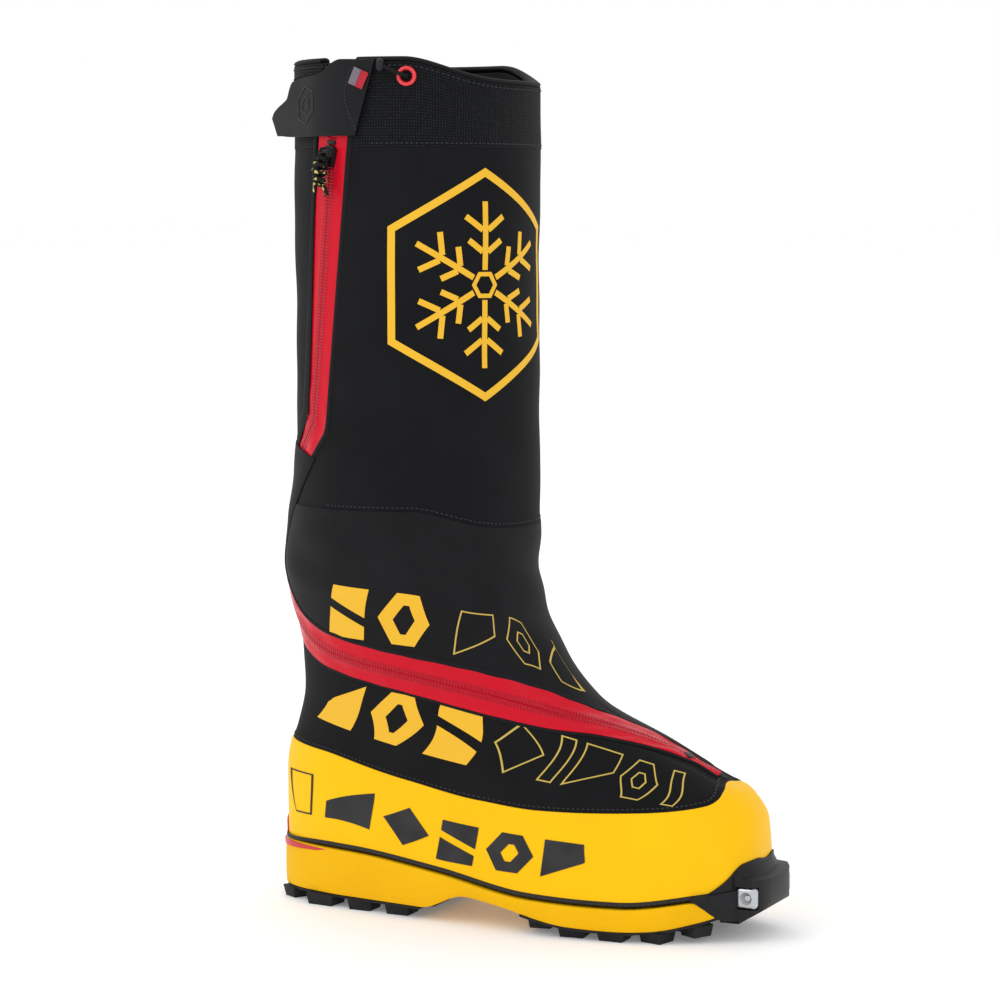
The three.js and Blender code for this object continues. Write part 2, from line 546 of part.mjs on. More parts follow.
// ---- zip: two coated tapes, the coil behind them, stops, slider and puller ----
const TAPE_GAP = 0.4;
const tape = (from, to) => zipStrip(from, to, TAPE_DEPTH, TAPE_DEPTH + TAPE_WALL, TAPE_FIRST);
add('zip_tape_front', tape(TAPE_GAP / 2, TAPE_WIDTH / 2), RED, 0.3);
add('zip_tape_back', tape(-TAPE_WIDTH / 2, -TAPE_GAP / 2), RED, 0.3);
const coil = zipStrip(-COIL_WIDTH / 2, COIL_WIDTH / 2, COIL_DEPTH, COIL_DEPTH + COIL_WALL,
  TAPE_FIRST + 1, zipLine.length - 4);
add('zip_coil', coil, 0x8c0a22, 0.5);

const runMiddle = shaftAngle(runAt((RUN_FOOT.height + RUN_TOP.height) / 2));
const runOut = V(Math.cos(degToRad(runMiddle)), Math.sin(degToRad(runMiddle)), 0);
const runSide = runDirection.clone().cross(runOut).normalize();
const runFace = runSide.clone().cross(runDirection).normalize();
const runFrame = new THREE.Matrix4().makeBasis(runSide, runDirection, runFace);
// Places a piece made flat (X across the zip, Y up the zip, Z outwards) at a height on the run.
function onRun(geometry, height, lift) {
  const spot = runAt(height).addScaledVector(runFace, lift - TAPE_DEPTH);
  return geometry.applyMatrix4(runFrame.clone().setPosition(spot));
}
const EAR_SPREAD = 3.2;
const PIVOT_UP = 2.5;
const PIVOT_OUT = 2.3;
const PIN_RADIUS = 0.6;
const PULL_BORE = PIN_RADIUS + 0.35;
function sliderBody() {
  const [side, end] = [SLIDER_WIDTH / 2, SLIDER_LENGTH / 2];
  const plan = new THREE.Shape();
  plan.moveTo(-side + 1.5, -end);
  plan.lineTo(side - 1.5, -end);
  plan.lineTo(side, end - 3);
  plan.quadraticCurveTo(side, end, 0, end);
  plan.quadraticCurveTo(-side, end, -side, end - 3);
  const body = new THREE.ExtrudeGeometry(plan, { depth: SLIDER_WALL, bevelEnabled: false, curveSegments: 4 });
  const ear = block(1.2, 5, 4.6);
  const left = ear.clone().translate(-EAR_SPREAD, PIVOT_UP, SLIDER_WALL + 1.7);
  const right = ear.clone().translate(EAR_SPREAD, PIVOT_UP, SLIDER_WALL + 1.7);
  const pin = rod(PIN_RADIUS, 2 * EAR_SPREAD, 12).rotateZ(Math.PI / 2);
  return join(body, left, right, pin.translate(0, PIVOT_UP, SLIDER_WALL + PIVOT_OUT));
}
add('zip_slider', onRun(sliderBody(), SLIDER_REST, SLIDER_LIFT), 0x1a1a1c, 0.4, 0.6);

const PULL_LENGTH = 12;
const pullPlate = block(4.4, PULL_LENGTH, 1.9).translate(0, -PULL_LENGTH / 2 + 1.2, 0);
const pullEye = rod(PULL_BORE, 8, 12).rotateZ(Math.PI / 2);
const cordEye = rod(1, 8, 12).rotateX(Math.PI / 2).translate(0, -PULL_LENGTH + 3.4, 0);
const pullBarrel = rod(1.9, 4.4, 12).rotateZ(Math.PI / 2);
const puller = cut(join(pullPlate, pullBarrel), pullEye, cordEye);
puller.translate(0, PIVOT_UP, SLIDER_WALL + PIVOT_OUT);
add('zip_puller', onRun(puller, SLIDER_REST, SLIDER_LIFT), 0x1a1a1c, 0.4, 0.6);

// The pull cord: a knot of thin cord just below the puller, with two short tails.
function pullCord() {
  const knot = new THREE.SphereGeometry(1, 10, 6).scale(4.2, 5.2, 3);
  const tail = (side) => tube(
    [V(0, -2, 0), V(side * 2.4, -7, 0.3), V(side * 3.4, -12, 0.2)], CORD - 0.4, 3, 6);
  return join(knot, tail(1), tail(-1));
}
const knot = pullCord().translate(0, PIVOT_UP - PULL_LENGTH - 4.6, SLIDER_WALL + PIVOT_OUT + 0.9);
add('pull_cord', onRun(knot, SLIDER_REST, SLIDER_LIFT), 0x2a2620, 0.9);

const STOP_LENGTH = 2.6;
const stopAt = SLIDER_REST + (SLIDER_LENGTH + STOP_LENGTH) / 2 + 0.5;
const topStop = onRun(block(7, STOP_LENGTH, 2).translate(0, 0, 1), stopAt, CLEARANCE);
add('zip_top_stop', topStop, 0x1a1a1c, 0.4, 0.6);
const zipEnd = zipLine[TAPE_FIRST + 1];
const FOOT_STOP = 1.6;
const footStop = standOut(block(6, FOOT_STOP, 6), OUTSIDE, zipEnd.angle, zipEnd.height,
  TAPE_DEPTH - CLEARANCE - FOOT_STOP / 2);
add('zip_bottom_stop', footStop, 0x1a1a1c, 0.4, 0.6);

// ---- closure strap across the top of the zip ----
const shaftSpot = (angle, radius, height) => V(
  SHAFT_AXIS + radius * Math.cos(degToRad(angle)), radius * Math.sin(degToRad(angle)), height);
const strapInner = SHAFT_RADIUS + STRAP_STANDOFF;
function strapRow(lengthShare) {
  const arc = degToRad(STRAP_ROOT - STRAP_LEAVE) * strapInner;
  const along = lengthShare * (arc + STRAP_FREE);
  const top = STRAP_TOP - 21 * smoothstep(along, 0.35 * arc, arc + STRAP_FREE);
  const lean = 6 * (1 - smoothstep(along, 0, 10));
  const spot = (radius, height, slip) => {
    const onArc = Math.min(along - slip, arc);
    const beyond = Math.max(along - arc, 0);
    const angle = STRAP_ROOT - THREE.MathUtils.radToDeg(onArc / strapInner);
    const leave = degToRad(STRAP_LEAVE);
    const straight = V(Math.sin(leave), -Math.cos(leave), 0);
    return shaftSpot(angle, radius, height).addScaledVector(straight, beyond);
  };
  const outer = strapInner + STRAP_WALL;
  return [spot(strapInner, STRAP_BOTTOM, -lean), spot(outer, STRAP_BOTTOM, -lean), spot(outer, top, 0),
    spot(strapInner, top, 0)];
}
add('closure_strap', loft(span(0, 1, 14).map(strapRow)), 0x2a2a2e, 0.5);
const hooks = band(OUTSIDE, span(-148, -122, 4), () => STRAP_BOTTOM + 4, () => STRAP_BOTTOM + 36,
  -0.7, -CLEARANCE);
add('hook_patch', hooks, 0x18181a, 1);
const tag = standOut(block(10, 0.7, 10).rotateY(degToRad(24)), OUTSIDE, STRAP_ROOT - 6, 513,
  -STRAP_STANDOFF - STRAP_WALL - CLEARANCE - 0.5);
add('strap_tag', tag, 0x8a6a70, 0.8);

// ---- eyelet, drawcord and its end ----
function eyelet() {
  const flange = FABRIC_WALL / 2 + CLEARANCE;
  const profile = [[EYELET_BORE, -flange], [HOLE - CLEARANCE, -flange], [HOLE - CLEARANCE, flange],
    [EYELET_RADIUS, flange], [EYELET_RADIUS - 0.4, flange + 1.2], [EYELET_BORE + 0.6, flange + 1.2],
    [EYELET_BORE, flange + 0.6], [EYELET_BORE, -flange]].map(([r, y]) => new THREE.Vector2(r, y));
  return new THREE.LatheGeometry(profile, 20);
}
add('drawcord_eyelet', standOut(eyelet(), OUTSIDE, EYELET_ANGLE, RIM_HEIGHT - HEM, FABRIC_WALL / 2),
  0xe8404a, 0.35);
const cordDepth = LINING_DEPTH + 1.15;
const cordSpot = (angle, drop, depth) => under(OUTSIDE, angle, rim(angle) - drop, depth);
const drawcordRoute = [
  cordSpot(EYELET_ANGLE - 9, HEM - 5, -3.4), cordSpot(EYELET_ANGLE - 4, HEM - 2, -4.6),
  cordSpot(EYELET_ANGLE, HEM, -3.4), cordSpot(EYELET_ANGLE, HEM, 0.4),
  cordSpot(EYELET_ANGLE + 2.4, HEM, cordDepth),
  ...span(EYELET_ANGLE + 6, 236, 26).map((angle) => cordSpot(angle, HEM, cordDepth)),
];
add('drawcord', tube(drawcordRoute, DRAWCORD, 76, 5), 0x151517, 0.9);
const lockSpot = cordSpot(-79.4, HEM - 6.4, -3.4);
const cordLock = new THREE.CapsuleGeometry(2.5, 3, 4, 12).rotateX(Math.PI / 2)
  .rotateZ(degToRad(-79.4)).translate(lockSpot.x, lockSpot.y, lockSpot.z);
add('cord_end', cordLock, 0x2c2c30, 0.4);

// ---- inner boot: shell, tongue, heel counter, lacing ----
const frontAngles = (edge) => [-edge, -24, -12, -4, 0, 4, 12, 24, edge];
const throat = band(INSIDE, frontAngles(THROAT_ANGLE), () => THROAT_FOOT, () => SHELL_HEIGHT + 20,
  -8, SHELL_WALL + 1);
const shellWall = band(INSIDE, fullTurn, floorLine, () => SHELL_HEIGHT, 0, SHELL_WALL);
const floorAt = raised(weltFoot, WELT_HEIGHT + FLOOR_GAP);
const shellFloor = plate(INSIDE, floorAt, raised(floorAt, FLOOR_WALL), 0.6);
add('inner_shell', cut(join(shellWall, shellFloor), throat), 0x3a3b40, 0.5);
const tongue = band(INSIDE, frontAngles(THROAT_ANGLE - 0.9), () => THROAT_FOOT + 0.6,
  () => SHELL_HEIGHT + 6, 0, SHELL_WALL);
add('shell_tongue', tongue, 0x26272b, 0.8);
const counter = band(INSIDE, [148, 160, 170, 176, 180, 184, 190, 200, 212], () => 122, () => 170, -2.6, -0.7);
add('heel_counter', counter, 0x1c1c1e, 0.4);
for (const [name, side] of [['lace_guides_outer', -1], ['lace_guides_inner', 1]]) {
  const bar = band(INSIDE, [side * 36, side * 48], () => GUIDE_LEVELS[0] - 7,
    () => GUIDE_LEVELS[2] + 7, -1.6, -0.8);
  const loops = GUIDE_LEVELS.map(
    (level) => standOut(block(7, 3.4, 7), INSIDE, side * GUIDE_ANGLE, level, -2.6));
  add(name, join(bar, ...loops), 0x2f3035, 0.5);
}
const dialSpot = under(INSIDE, 0, DIAL_LEVEL, -CLEARANCE);
const alongX = (geometry, from) => geometry.rotateZ(-Math.PI / 2)
  .translate(dialSpot.x + from, dialSpot.y, dialSpot.z);
const DIAL_BASE = 3;
const HUB_LENGTH = 5.4;
add('dial_base', alongX(rod(DIAL_RADIUS + 2.5, DIAL_BASE), DIAL_BASE / 2), 0x1c1c1e, 0.5);
const hub = alongX(rod(HUB_RADIUS, HUB_LENGTH), DIAL_BASE + CLEARANCE + HUB_LENGTH / 2);
add('dial_hub', hub, 0x77797e, 0.4, 0.7);
function dialKnob() {
  const grip = new THREE.Shape();
  const RIBS = 18;
  for (let i = 0; i < 2 * RIBS; i++) {
    const turn = Math.PI * i / RIBS;
    const radius = DIAL_RADIUS - (i % 2 ? 0.9 : 0);
    grip[i ? 'lineTo' : 'moveTo'](radius * Math.cos(turn), radius * Math.sin(turn));
  }
  const knob = new THREE.ExtrudeGeometry(grip, { depth: DIAL_HEIGHT, bevelEnabled: false });
  return cut(knob.rotateX(-Math.PI / 2), rod(HUB_RADIUS + CLEARANCE, HUB_LENGTH * 2));
}
add('lacing_dial', alongX(dialKnob(), DIAL_BASE + 2 * CLEARANCE), 0x26272b, 0.5);

// Each cable runs from one side of the dial and crosses the tongue from guide to guide.
const overGuide = 4.3 + CLEARANCE + CABLE / 2 + 1;
const dialSide = (side) => V(dialSpot.x + 1.5, side * (DIAL_RADIUS + 2.5 + 1.4), DIAL_LEVEL - 4);
function laceCable(side, lift) {
  const [high, middle, low] = GUIDE_LEVELS.slice().reverse();
  const at = (angle, level, over) => under(INSIDE, angle, level, -over);
  const hook = (turn, level) => [1.2, -1.2].map((rise) => at(turn * GUIDE_ANGLE, level + rise, overGuide));
  const crossing = (turn, from, to) => [0.6, 0.2, -0.2, -0.6].map(
    (share) => at(turn * share * GUIDE_ANGLE, lerp(to, from, (share + 1) / 2), lift));
  return tube([dialSide(side), ...hook(side, high), ...crossing(side, high, middle), ...hook(-side, middle),
    ...crossing(-side, middle, low), ...hook(side, low)], CABLE, 40, 4);
}
add('lace_cable_outer', laceCable(-1, 3), 0x9a9ca2, 0.35);
add('lace_cable_inner', laceCable(1, 5.2), 0x9a9ca2, 0.35);

// ---- padded liner and footbed ----
const LINER_DEPTH = SHELL_WALL + 0.7;
const linerFoot = (angle) => floorLine(angle) + FLOOR_WALL + 0.4;
const LINER_INSIDE = LINER_DEPTH + LINER_WALL;
const linerWall = band(INSIDE, fullTurn, linerFoot, () => LINER_HEIGHT, LINER_DEPTH, LINER_INSIDE);
const linerFloorAt = raised(floorAt, FLOOR_WALL + 0.4);
const linerFloor = plate(INSIDE, linerFloorAt, raised(linerFloorAt, LINER_FLOOR), LINER_DEPTH + 0.8);
add('liner', join(linerWall, linerFloor), 0x4b4c52, 0.95);
const footbedAt = raised(linerFloorAt, LINER_FLOOR + CLEARANCE);
const footbed = plate(INSIDE, footbedAt, raised(footbedAt, FOOTBED_WALL), LINER_INSIDE + 0.8);
add('footbed', footbed, 0x7a7c80, 0.9);
const cuffDepth = LINER_DEPTH - CLEARANCE;
const cuffTape = band(INSIDE, fullTurn, () => SHELL_HEIGHT + 8, () => LINER_HEIGHT - 6, cuffDepth - 0.8,
  cuffDepth);
add('liner_cuff_tape', cuffTape, RED, 0.7);
const linerBack = under(INSIDE, 180, LINER_HEIGHT, LINER_DEPTH + LINER_WALL / 2);
const loopRoute = [[-7, 0], [-8, 12], [0, 22], [8, 12], [7, 0]].map(
  ([y, z]) => V(linerBack.x, y, LINER_HEIGHT + CLEARANCE + z));
add('liner_pull_loop', tube(loopRoute, 2.4, 12, 6), RED, 0.8);

// The origin is the middle of the footprint, on the ground.
const box = new THREE.Box3().setFromObject(boot);
const middle = box.getCenter(V(0, 0, 0));
boot.position.set(-middle.x, -middle.y, -box.min.z);

export default boot;
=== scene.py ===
# %% [markdown]
# # A double mountaineering boot with a knee-high gaiter
# This is a right boot for high, cold mountains. A padded liner sits in a stiff inner shell, and a
# gaiter is built over both. Its rand is yellow coated fabric, its shaft is dark stretch cloth, and a
# red waterproof zip winds from the toe round the ankle to the knee. We make it piece by piece round a
# fixed frame, which says where every part of the real assembly is.

# %% Load the frame
import math

import bpy
import numpy as np
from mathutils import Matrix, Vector
from mathutils.kdtree import KDTree


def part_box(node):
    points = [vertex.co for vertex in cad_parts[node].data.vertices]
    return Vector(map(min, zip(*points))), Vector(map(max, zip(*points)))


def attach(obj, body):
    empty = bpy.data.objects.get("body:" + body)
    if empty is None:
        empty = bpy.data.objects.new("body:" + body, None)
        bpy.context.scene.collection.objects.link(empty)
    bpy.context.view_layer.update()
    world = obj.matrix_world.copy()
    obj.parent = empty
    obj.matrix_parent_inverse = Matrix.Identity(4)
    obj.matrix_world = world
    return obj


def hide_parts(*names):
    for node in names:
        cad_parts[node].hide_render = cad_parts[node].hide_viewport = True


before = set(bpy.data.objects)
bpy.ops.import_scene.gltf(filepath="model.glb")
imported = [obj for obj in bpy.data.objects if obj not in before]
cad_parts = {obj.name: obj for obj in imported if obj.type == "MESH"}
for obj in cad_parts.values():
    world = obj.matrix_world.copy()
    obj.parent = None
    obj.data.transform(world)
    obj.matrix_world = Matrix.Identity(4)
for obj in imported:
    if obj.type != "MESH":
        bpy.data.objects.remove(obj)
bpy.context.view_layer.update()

# %% [markdown]
# ## One set of numbers for boot and frame
# Heights and widths are easiest to think of in millimetres, with X running from the back of the heel.
# The frame has its origin in the middle of the footprint, so we find the shift between the two from a
# part whose place we know: the steel fitting in the toe.

# %% From the boot's own millimetres to the frame's metres
FITTING_SPOT = (318.5, 7.5)


def middle_of(node):
    """The middle of one of the frame's nodes, in its millimetres."""
    return np.sum(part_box(node), axis=0) * 500


SHIFT = np.append(middle_of("toe_fitting")[:2] - FITTING_SPOT, 0)


def metres(points):
    return (np.asarray(points, float) + SHIFT) / 1000


print("shift in mm", SHIFT.round(3))

# %% [markdown]
# ## The camera
# A long lens, about two metres from the boot and a little above its middle, looks at the outer side
# from in front of the toe. We place it first, because everything else is judged through it.

# %% Camera
EYE, AIM = Vector((968.0, -1722.0, 432.9)), Vector((126.1, 83.4, 253.7))
bpy.ops.object.camera_add(location=metres(EYE), rotation=(AIM - EYE).to_track_quat("-Z", "Y").to_euler())
camera = bpy.context.object
camera.name = "studio_camera"
camera.data.lens = 111.78
camera.data.shift_x = -0.0277
camera.data.shift_y = -0.0074
bpy.context.scene.camera = camera
print("camera at", tuple(round(v, 3) for v in camera.location))

# %% [markdown]
# ## Colours and finishes
# Colours are written as hex values, as on a colour card. A renderer adds up light, so it needs them
# linear, and one function does that for all of them. Another adds a shader node, sets its values and
# wires it up.

# %% Shader nodes
def linear(hex_colour):
    channels = [int(hex_colour[i:i + 2], 16) / 255 for i in (1, 3, 5)]
    return [c / 12.92 if c <= 0.04045 else ((c + 0.055) / 1.055) ** 2.4 for c in channels] + [1.0]


def add(material, kind, wires=(), **values):
    """Adds a node. wires are (its input, another node's output); values are settings or inputs."""
    node = material.node_tree.nodes.new(kind)
    for name, value in values.items():
        if name in node.bl_rna.properties:
            setattr(node, name, value)
        else:
            node.inputs[name.replace("_", " ")].default_value = value
    for entry, source in wires:
        material.node_tree.links.new(source, node.inputs[entry])
    return node


def plug(material, socket, source):
    shader = material.node_tree.nodes["Principled BSDF"]
    material.node_tree.links.new(source, shader.inputs[socket])


def product(material, first, second):
    return add(material, "ShaderNodeMath", [(0, first), (1, second)], operation="MULTIPLY").outputs[0]


def shade(material, source, stops):
    """Colours the surface by a value. stops are (value, hex colour), lowest first."""
    ramp = add(material, "ShaderNodeValToRGB", [("Fac", source)])
    for stop, (at, colour) in zip(ramp.color_ramp.elements, stops):
        stop.position, stop.color = at, linear(colour)
    plug(material, "Base Color", ramp.outputs["Color"])


def rough_up(material, height, strength, depth_mm, under=None):
    """Adds a bump, on top of another one if it is given."""
    wires = [("Height", height)] + ([("Normal", under)] if under else [])
    bump = add(material, "ShaderNodeBump", wires, Strength=strength, Distance=depth_mm / 1000)
    plug(material, "Normal", bump.outputs["Normal"])
    return bump.outputs["Normal"]


# %% [markdown]
# Four patterns do most of the work. Grain is fine noise that roughens a surface. Clouds let the colour
# wander a little, as dye and wear do, and gloss does the same for the shine. A weave is two sets of
# stripes at right angles, measured on the cloth itself, so that it follows every curve. With those, a
# finish is a few lines that say what the material is.

# %% Patterns
STRIPE = 0.31416          # a wave texture of scale 1 repeats every 0.31416 units


def noise(material, size_mm, detail=3.0):
    place = add(material, "ShaderNodeTexCoord").outputs["Object"]
    return add(material, "ShaderNodeTexNoise", [("Vector", place)],
               Scale=1000 / size_mm, Detail=detail).outputs["Fac"]


def cloth_of(material):
    return add(material, "ShaderNodeTexCoord").outputs["UV"]


def stripes(material, pitch_mm, direction, cloth):
    return add(material, "ShaderNodeTexWave", [("Vector", cloth)], wave_type="BANDS", wave_profile="SIN",
               bands_direction=direction, Scale=STRIPE * 1000 / pitch_mm).outputs["Fac"]


def threads(material, pitch_mm):
    cloth = cloth_of(material)
    return product(material, *(stripes(material, pitch_mm, way, cloth) for way in "XY"))


def finish(name, colour, roughness, clouds=None, gloss=None, weave=None, grain=None, **sockets):
    """A new material. clouds: two colours and a size; gloss: two roughness values and a size;
    weave and grain: size, strength and depth. Sizes are in mm, and the rest are shader sockets."""
    material = bpy.data.materials.new(name)
    material.use_nodes = True
    shader = material.node_tree.nodes["Principled BSDF"]
    shader.inputs["Base Color"].default_value = linear(colour)
    shader.inputs["Roughness"].default_value = roughness
    for socket, value in sockets.items():
        shader.inputs[socket.replace("_", " ")].default_value = value
    if clouds:
        one, other, size = clouds
        shade(material, noise(material, size, 4.0), [(0.35, one), (0.65, other)])
    if gloss:
        low, high, size = gloss
        span = add(material, "ShaderNodeMapRange", [("Value", noise(material, size, 4.0))],
                   From_Min=0.3, From_Max=0.7, To_Min=low, To_Max=high)
        plug(material, "Roughness", span.outputs["Result"])
    if weave:
        rough_up(material, threads(material, weave[0]), *weave[1:])
    if grain:
        rough_up(material, noise(material, grain[0]), *grain[1:])
    return material


# %% [markdown]
# ## The finishes
# Each one is named for what the real material is and how it was made. The rand is fabric with a smooth
# polyurethane coating: bright, evenly coloured and slightly leathery close up. The midsole is moulded
# foam, warmer and duller. Threads on this boot are about 0.4 mm thick, too fine to show at this
# distance, so the weaves are drawn at about twice that.

# %% Coated and moulded finishes
RAND_YELLOW, FOAM_YELLOW = "#F4BA00", "#E6AE00"
coated_fabric = finish("polyurethane-coated rand fabric", RAND_YELLOW, 0.45,
                       clouds=(RAND_YELLOW, "#F8C000", 60), gloss=(0.38, 0.5, 12), grain=(1.1, 0.22, 0.12),
                       Specular_IOR_Level=0.12, Coat_Weight=0.04, Coat_Roughness=0.35)
moulded_foam = finish("moulded EVA foam", FOAM_YELLOW, 0.55, clouds=(FOAM_YELLOW, "#EBB400", 35),
                      grain=(0.9, 0.35, 0.15), Specular_IOR_Level=0.12)
lug_rubber = finish("moulded outsole rubber", "#151518", 0.72, clouds=("#141416", "#1E1E21", 18),
                    grain=(0.8, 0.4, 0.2), Specular_IOR_Level=0.3)
bumper_rubber = finish("moulded bumper rubber", "#101013", 0.5, clouds=("#0F0F12", "#17171B", 14),
                       grain=(0.9, 0.3, 0.15), Specular_IOR_Level=0.25)
welt_rubber = finish("extruded welt rubber", "#141416", 0.5, grain=(0.7, 0.25, 0.12), Specular_IOR_Level=0.35)
strap_rubber = finish("calendered strap rubber", "#0D0E11", 0.4, gloss=(0.3, 0.45, 9), grain=(0.8, 0.12, 0.1),
                      Specular_IOR_Level=0.16, Coat_Weight=0.04, Coat_Roughness=0.35)
red_nylon = finish("moulded red nylon", "#C22029", 0.35, grain=(1.0, 0.15, 0.1))

# %% [markdown]
# The dark cloths differ in small ways that the eye still reads. The shaft is a tight stretch weave with
# a soft sheen. The ankle patch is laminated and a touch greyer. The collar is an open mesh over a loop
# fabric, and shows as pale flecks in rows.

# %% Dark cloths
stretch_cloth = finish("woven stretch softshell", "#0B0C0E", 0.8, clouds=("#0A0B0D", "#101114", 45),
                       weave=(0.9, 0.35, 0.12), Specular_IOR_Level=0.14, Sheen_Weight=0.02)
laminate_cloth = finish("laminated ankle fabric", "#0F0F12", 0.7, clouds=("#0E0E11", "#151518", 38),
                        weave=(1.1, 0.22, 0.1), Specular_IOR_Level=0.15, Sheen_Weight=0.02)
lower_cloth = finish("abrasion-proof woven nylon", "#0B0C0E", 0.78, clouds=("#0A0B0D", "#101013", 40),
                     weave=(1.0, 0.4, 0.14), Specular_IOR_Level=0.14, Sheen_Weight=0.02)
binding_tape = finish("folded woven binding", "#101013", 0.75, weave=(1.0, 0.5, 0.2), Specular_IOR_Level=0.2)
lining_fleece = finish("brushed fleece lining", "#303238", 0.95, clouds=("#2A2C31", "#3A3C43", 6),
                       grain=(1.2, 0.7, 0.5), Sheen_Weight=0.15, Sheen_Roughness=0.5)
liner_felt = finish("thermoformed liner felt", "#45474D", 0.92, clouds=("#3E4046", "#505259", 5),
                    weave=(2.2, 0.4, 0.3), Sheen_Weight=0.3, Sheen_Roughness=0.5)
footbed_felt = finish("perforated footbed felt", "#6C6F74", 0.95, clouds=("#62656A", "#787B80", 4),
                      grain=(1.0, 0.6, 0.4))

MESH_PITCH, FLECK_SIZE = 1.7, 1.3
collar_mesh = finish("knitted collar mesh", "#0F1013", 0.85, Specular_IOR_Level=0.15, Sheen_Weight=0.03)
knit = threads(collar_mesh, MESH_PITCH)
shade(collar_mesh, product(collar_mesh, knit, noise(collar_mesh, FLECK_SIZE, 2.0)),
      [(0.22, "#08090B"), (0.62, "#33363C")])
knit_bump = rough_up(collar_mesh, knit, 0.8, 0.6)
rough_up(collar_mesh, noise(collar_mesh, 0.8), 0.5, 0.3, knit_bump)

# %% [markdown]
# The zip tapes carry a glossy red coating that shows the teeth beneath it as a row of small bars. The
# pattern is measured along the tape: a stripe every 1.9 mm, kept to a narrow band that the slit parts.

# %% Zip coating
ZIP_RED, TOOTH_PITCH, BAND_FULL, BAND_END = "#C4001F", 1.9, 0.0032, 0.0042
zip_coating = finish("glossy zip coating", ZIP_RED, 0.34, Specular_IOR_Level=0.16, Coat_Weight=0.05,
                     Coat_Roughness=0.12)
along_tape = cloth_of(zip_coating)
across_tape = add(zip_coating, "ShaderNodeSeparateXYZ", [("Vector", along_tape)]).outputs["Y"]
from_slit = add(zip_coating, "ShaderNodeMath", [(0, across_tape)], operation="ABSOLUTE").outputs[0]
in_band = add(zip_coating, "ShaderNodeMapRange", [("Value", from_slit)],
              From_Min=BAND_END, From_Max=BAND_FULL, To_Min=0.0, To_Max=1.0).outputs["Result"]
teeth = product(zip_coating, stripes(zip_coating, TOOTH_PITCH, "X", along_tape), in_band)
shade(zip_coating, teeth, [(0, ZIP_RED), (1, "#A00420")])
tooth_bump = rough_up(zip_coating, teeth, 0.9, 0.5)
rough_up(zip_coating, noise(zip_coating, 5.0), 0.25, 0.5, tooth_bump)

# %% [markdown]
# The prints are thin screen-printed inks. The metals, cords and small plastics finish the list.

# %% Prints, metals and trim
print_gold = finish("screen-printed gold ink", "#E6B22A", 0.55, grain=(0.9, 0.3, 0.1),
                    Specular_IOR_Level=0.25)
print_pale = finish("screen-printed outline ink", "#BFA448", 0.6, grain=(0.9, 0.3, 0.1))
print_charcoal = finish("screen-printed charcoal ink", "#262628", 0.55, clouds=("#222224", "#2E2E30", 20),
                        Specular_IOR_Level=0.25)
blasted_steel = finish("bead-blasted stainless steel", "#B9BDC1", 0.3, gloss=(0.24, 0.4, 1.5),
                       grain=(0.6, 0.2, 0.05), Metallic=1.0)
painted_zinc = finish("black painted zinc casting", "#0C0C0E", 0.4, grain=(0.8, 0.15, 0.06),
                      Specular_IOR_Level=0.3)
red_enamel = finish("red enamelled brass", "#D81E2C", 0.22, gloss=(0.18, 0.3, 2), Coat_Weight=0.6)
moulded_nylon = finish("moulded black nylon", "#131417", 0.5, grain=(0.9, 0.3, 0.1), Specular_IOR_Level=0.3)
pressed_board = finish("pressed fibre board", "#26262A", 0.7, grain=(1.4, 0.5, 0.2))
carbon_laminate = finish("pressed shell laminate", "#2B2C31", 0.42, clouds=("#26272B", "#323339", 10),
                         grain=(1.6, 0.25, 0.12))
red_webbing = finish("woven red webbing", "#A80C26", 0.75, grain=(0.9, 0.6, 0.3))
hook_pile = finish("hook-and-loop pile", "#0C0C0E", 0.95, grain=(0.8, 0.9, 0.6), Specular_IOR_Level=0.1)
grey_label = finish("woven grey label", "#6E6470", 0.8, weave=(0.8, 0.4, 0.1))
stitching = finish("polyester stitching thread", "#2C2D31", 0.6, grain=(0.6, 0.3, 0.05),
                   Specular_IOR_Level=0.3)
braided_cord = finish("braided black cord", "#0C0C0E", 0.7, grain=(0.9, 0.7, 0.3), Specular_IOR_Level=0.2)
grey_cable = finish("braided lacing cable", "#84868C", 0.45, grain=(0.6, 0.5, 0.2))
flecked_cord = finish("flecked accessory cord", "#141414", 0.7, grain=(0.9, 0.7, 0.3), Specular_IOR_Level=0.2)
shade(flecked_cord, noise(flecked_cord, 2.8, 1.0), [(0.6, "#101011"), (0.64, "#CDB868")])
print(len(bpy.data.materials), "materials")

# %% [markdown]
# ## The boot's surface
# Cut the boot level at any height and you get a blunt oval, wider at the ball of the foot and bent a
# little inward at the toe. A table gives each oval's back, front, half widths and bluntness, and smooth
# curves join the rows. Every soft piece of the gaiter lies on this one surface.

# %% Smooth curves through a table
def smoothstep(value, start, end):
    t = np.clip((value - start) / (end - start), 0, 1)
    return t * t * (3 - 2 * t)


def smooth_curve(rows, free_ends=False):
    """Goes through rows of (at, value ...) and never overshoots."""
    table = np.array(rows, float)
    at, values = table[:, 0], table[:, 1:]
    steps = np.diff(at)
    rise = np.diff(values, axis=0) / steps[:, None]
    slopes = np.zeros_like(values)
    before, after = rise[:-1], rise[1:]
    turning = before * after <= 0
    total = np.where(turning, 1, before + after)
    slopes[1:-1] = np.where(turning, 0, 2 * before * after / total)
    if free_ends:
        slopes[0], slopes[-1] = rise[0], rise[-1]

    def curve(spot):
        spot = np.clip(np.asarray(spot, float), at[0], at[-1])
        i = np.clip(np.searchsorted(at, spot, side="right") - 1, 0, len(at) - 2)
        t = ((spot - at[i]) / steps[i])[..., None]
        step = steps[i][..., None]
        return (values[i] * (1 + 2 * t) * (1 - t) ** 2 + slopes[i] * step * t * (1 - t) ** 2
                + values[i + 1] * t * t * (3 - 2 * t) + slopes[i + 1] * step * t * t * (t - 1))

    return curve


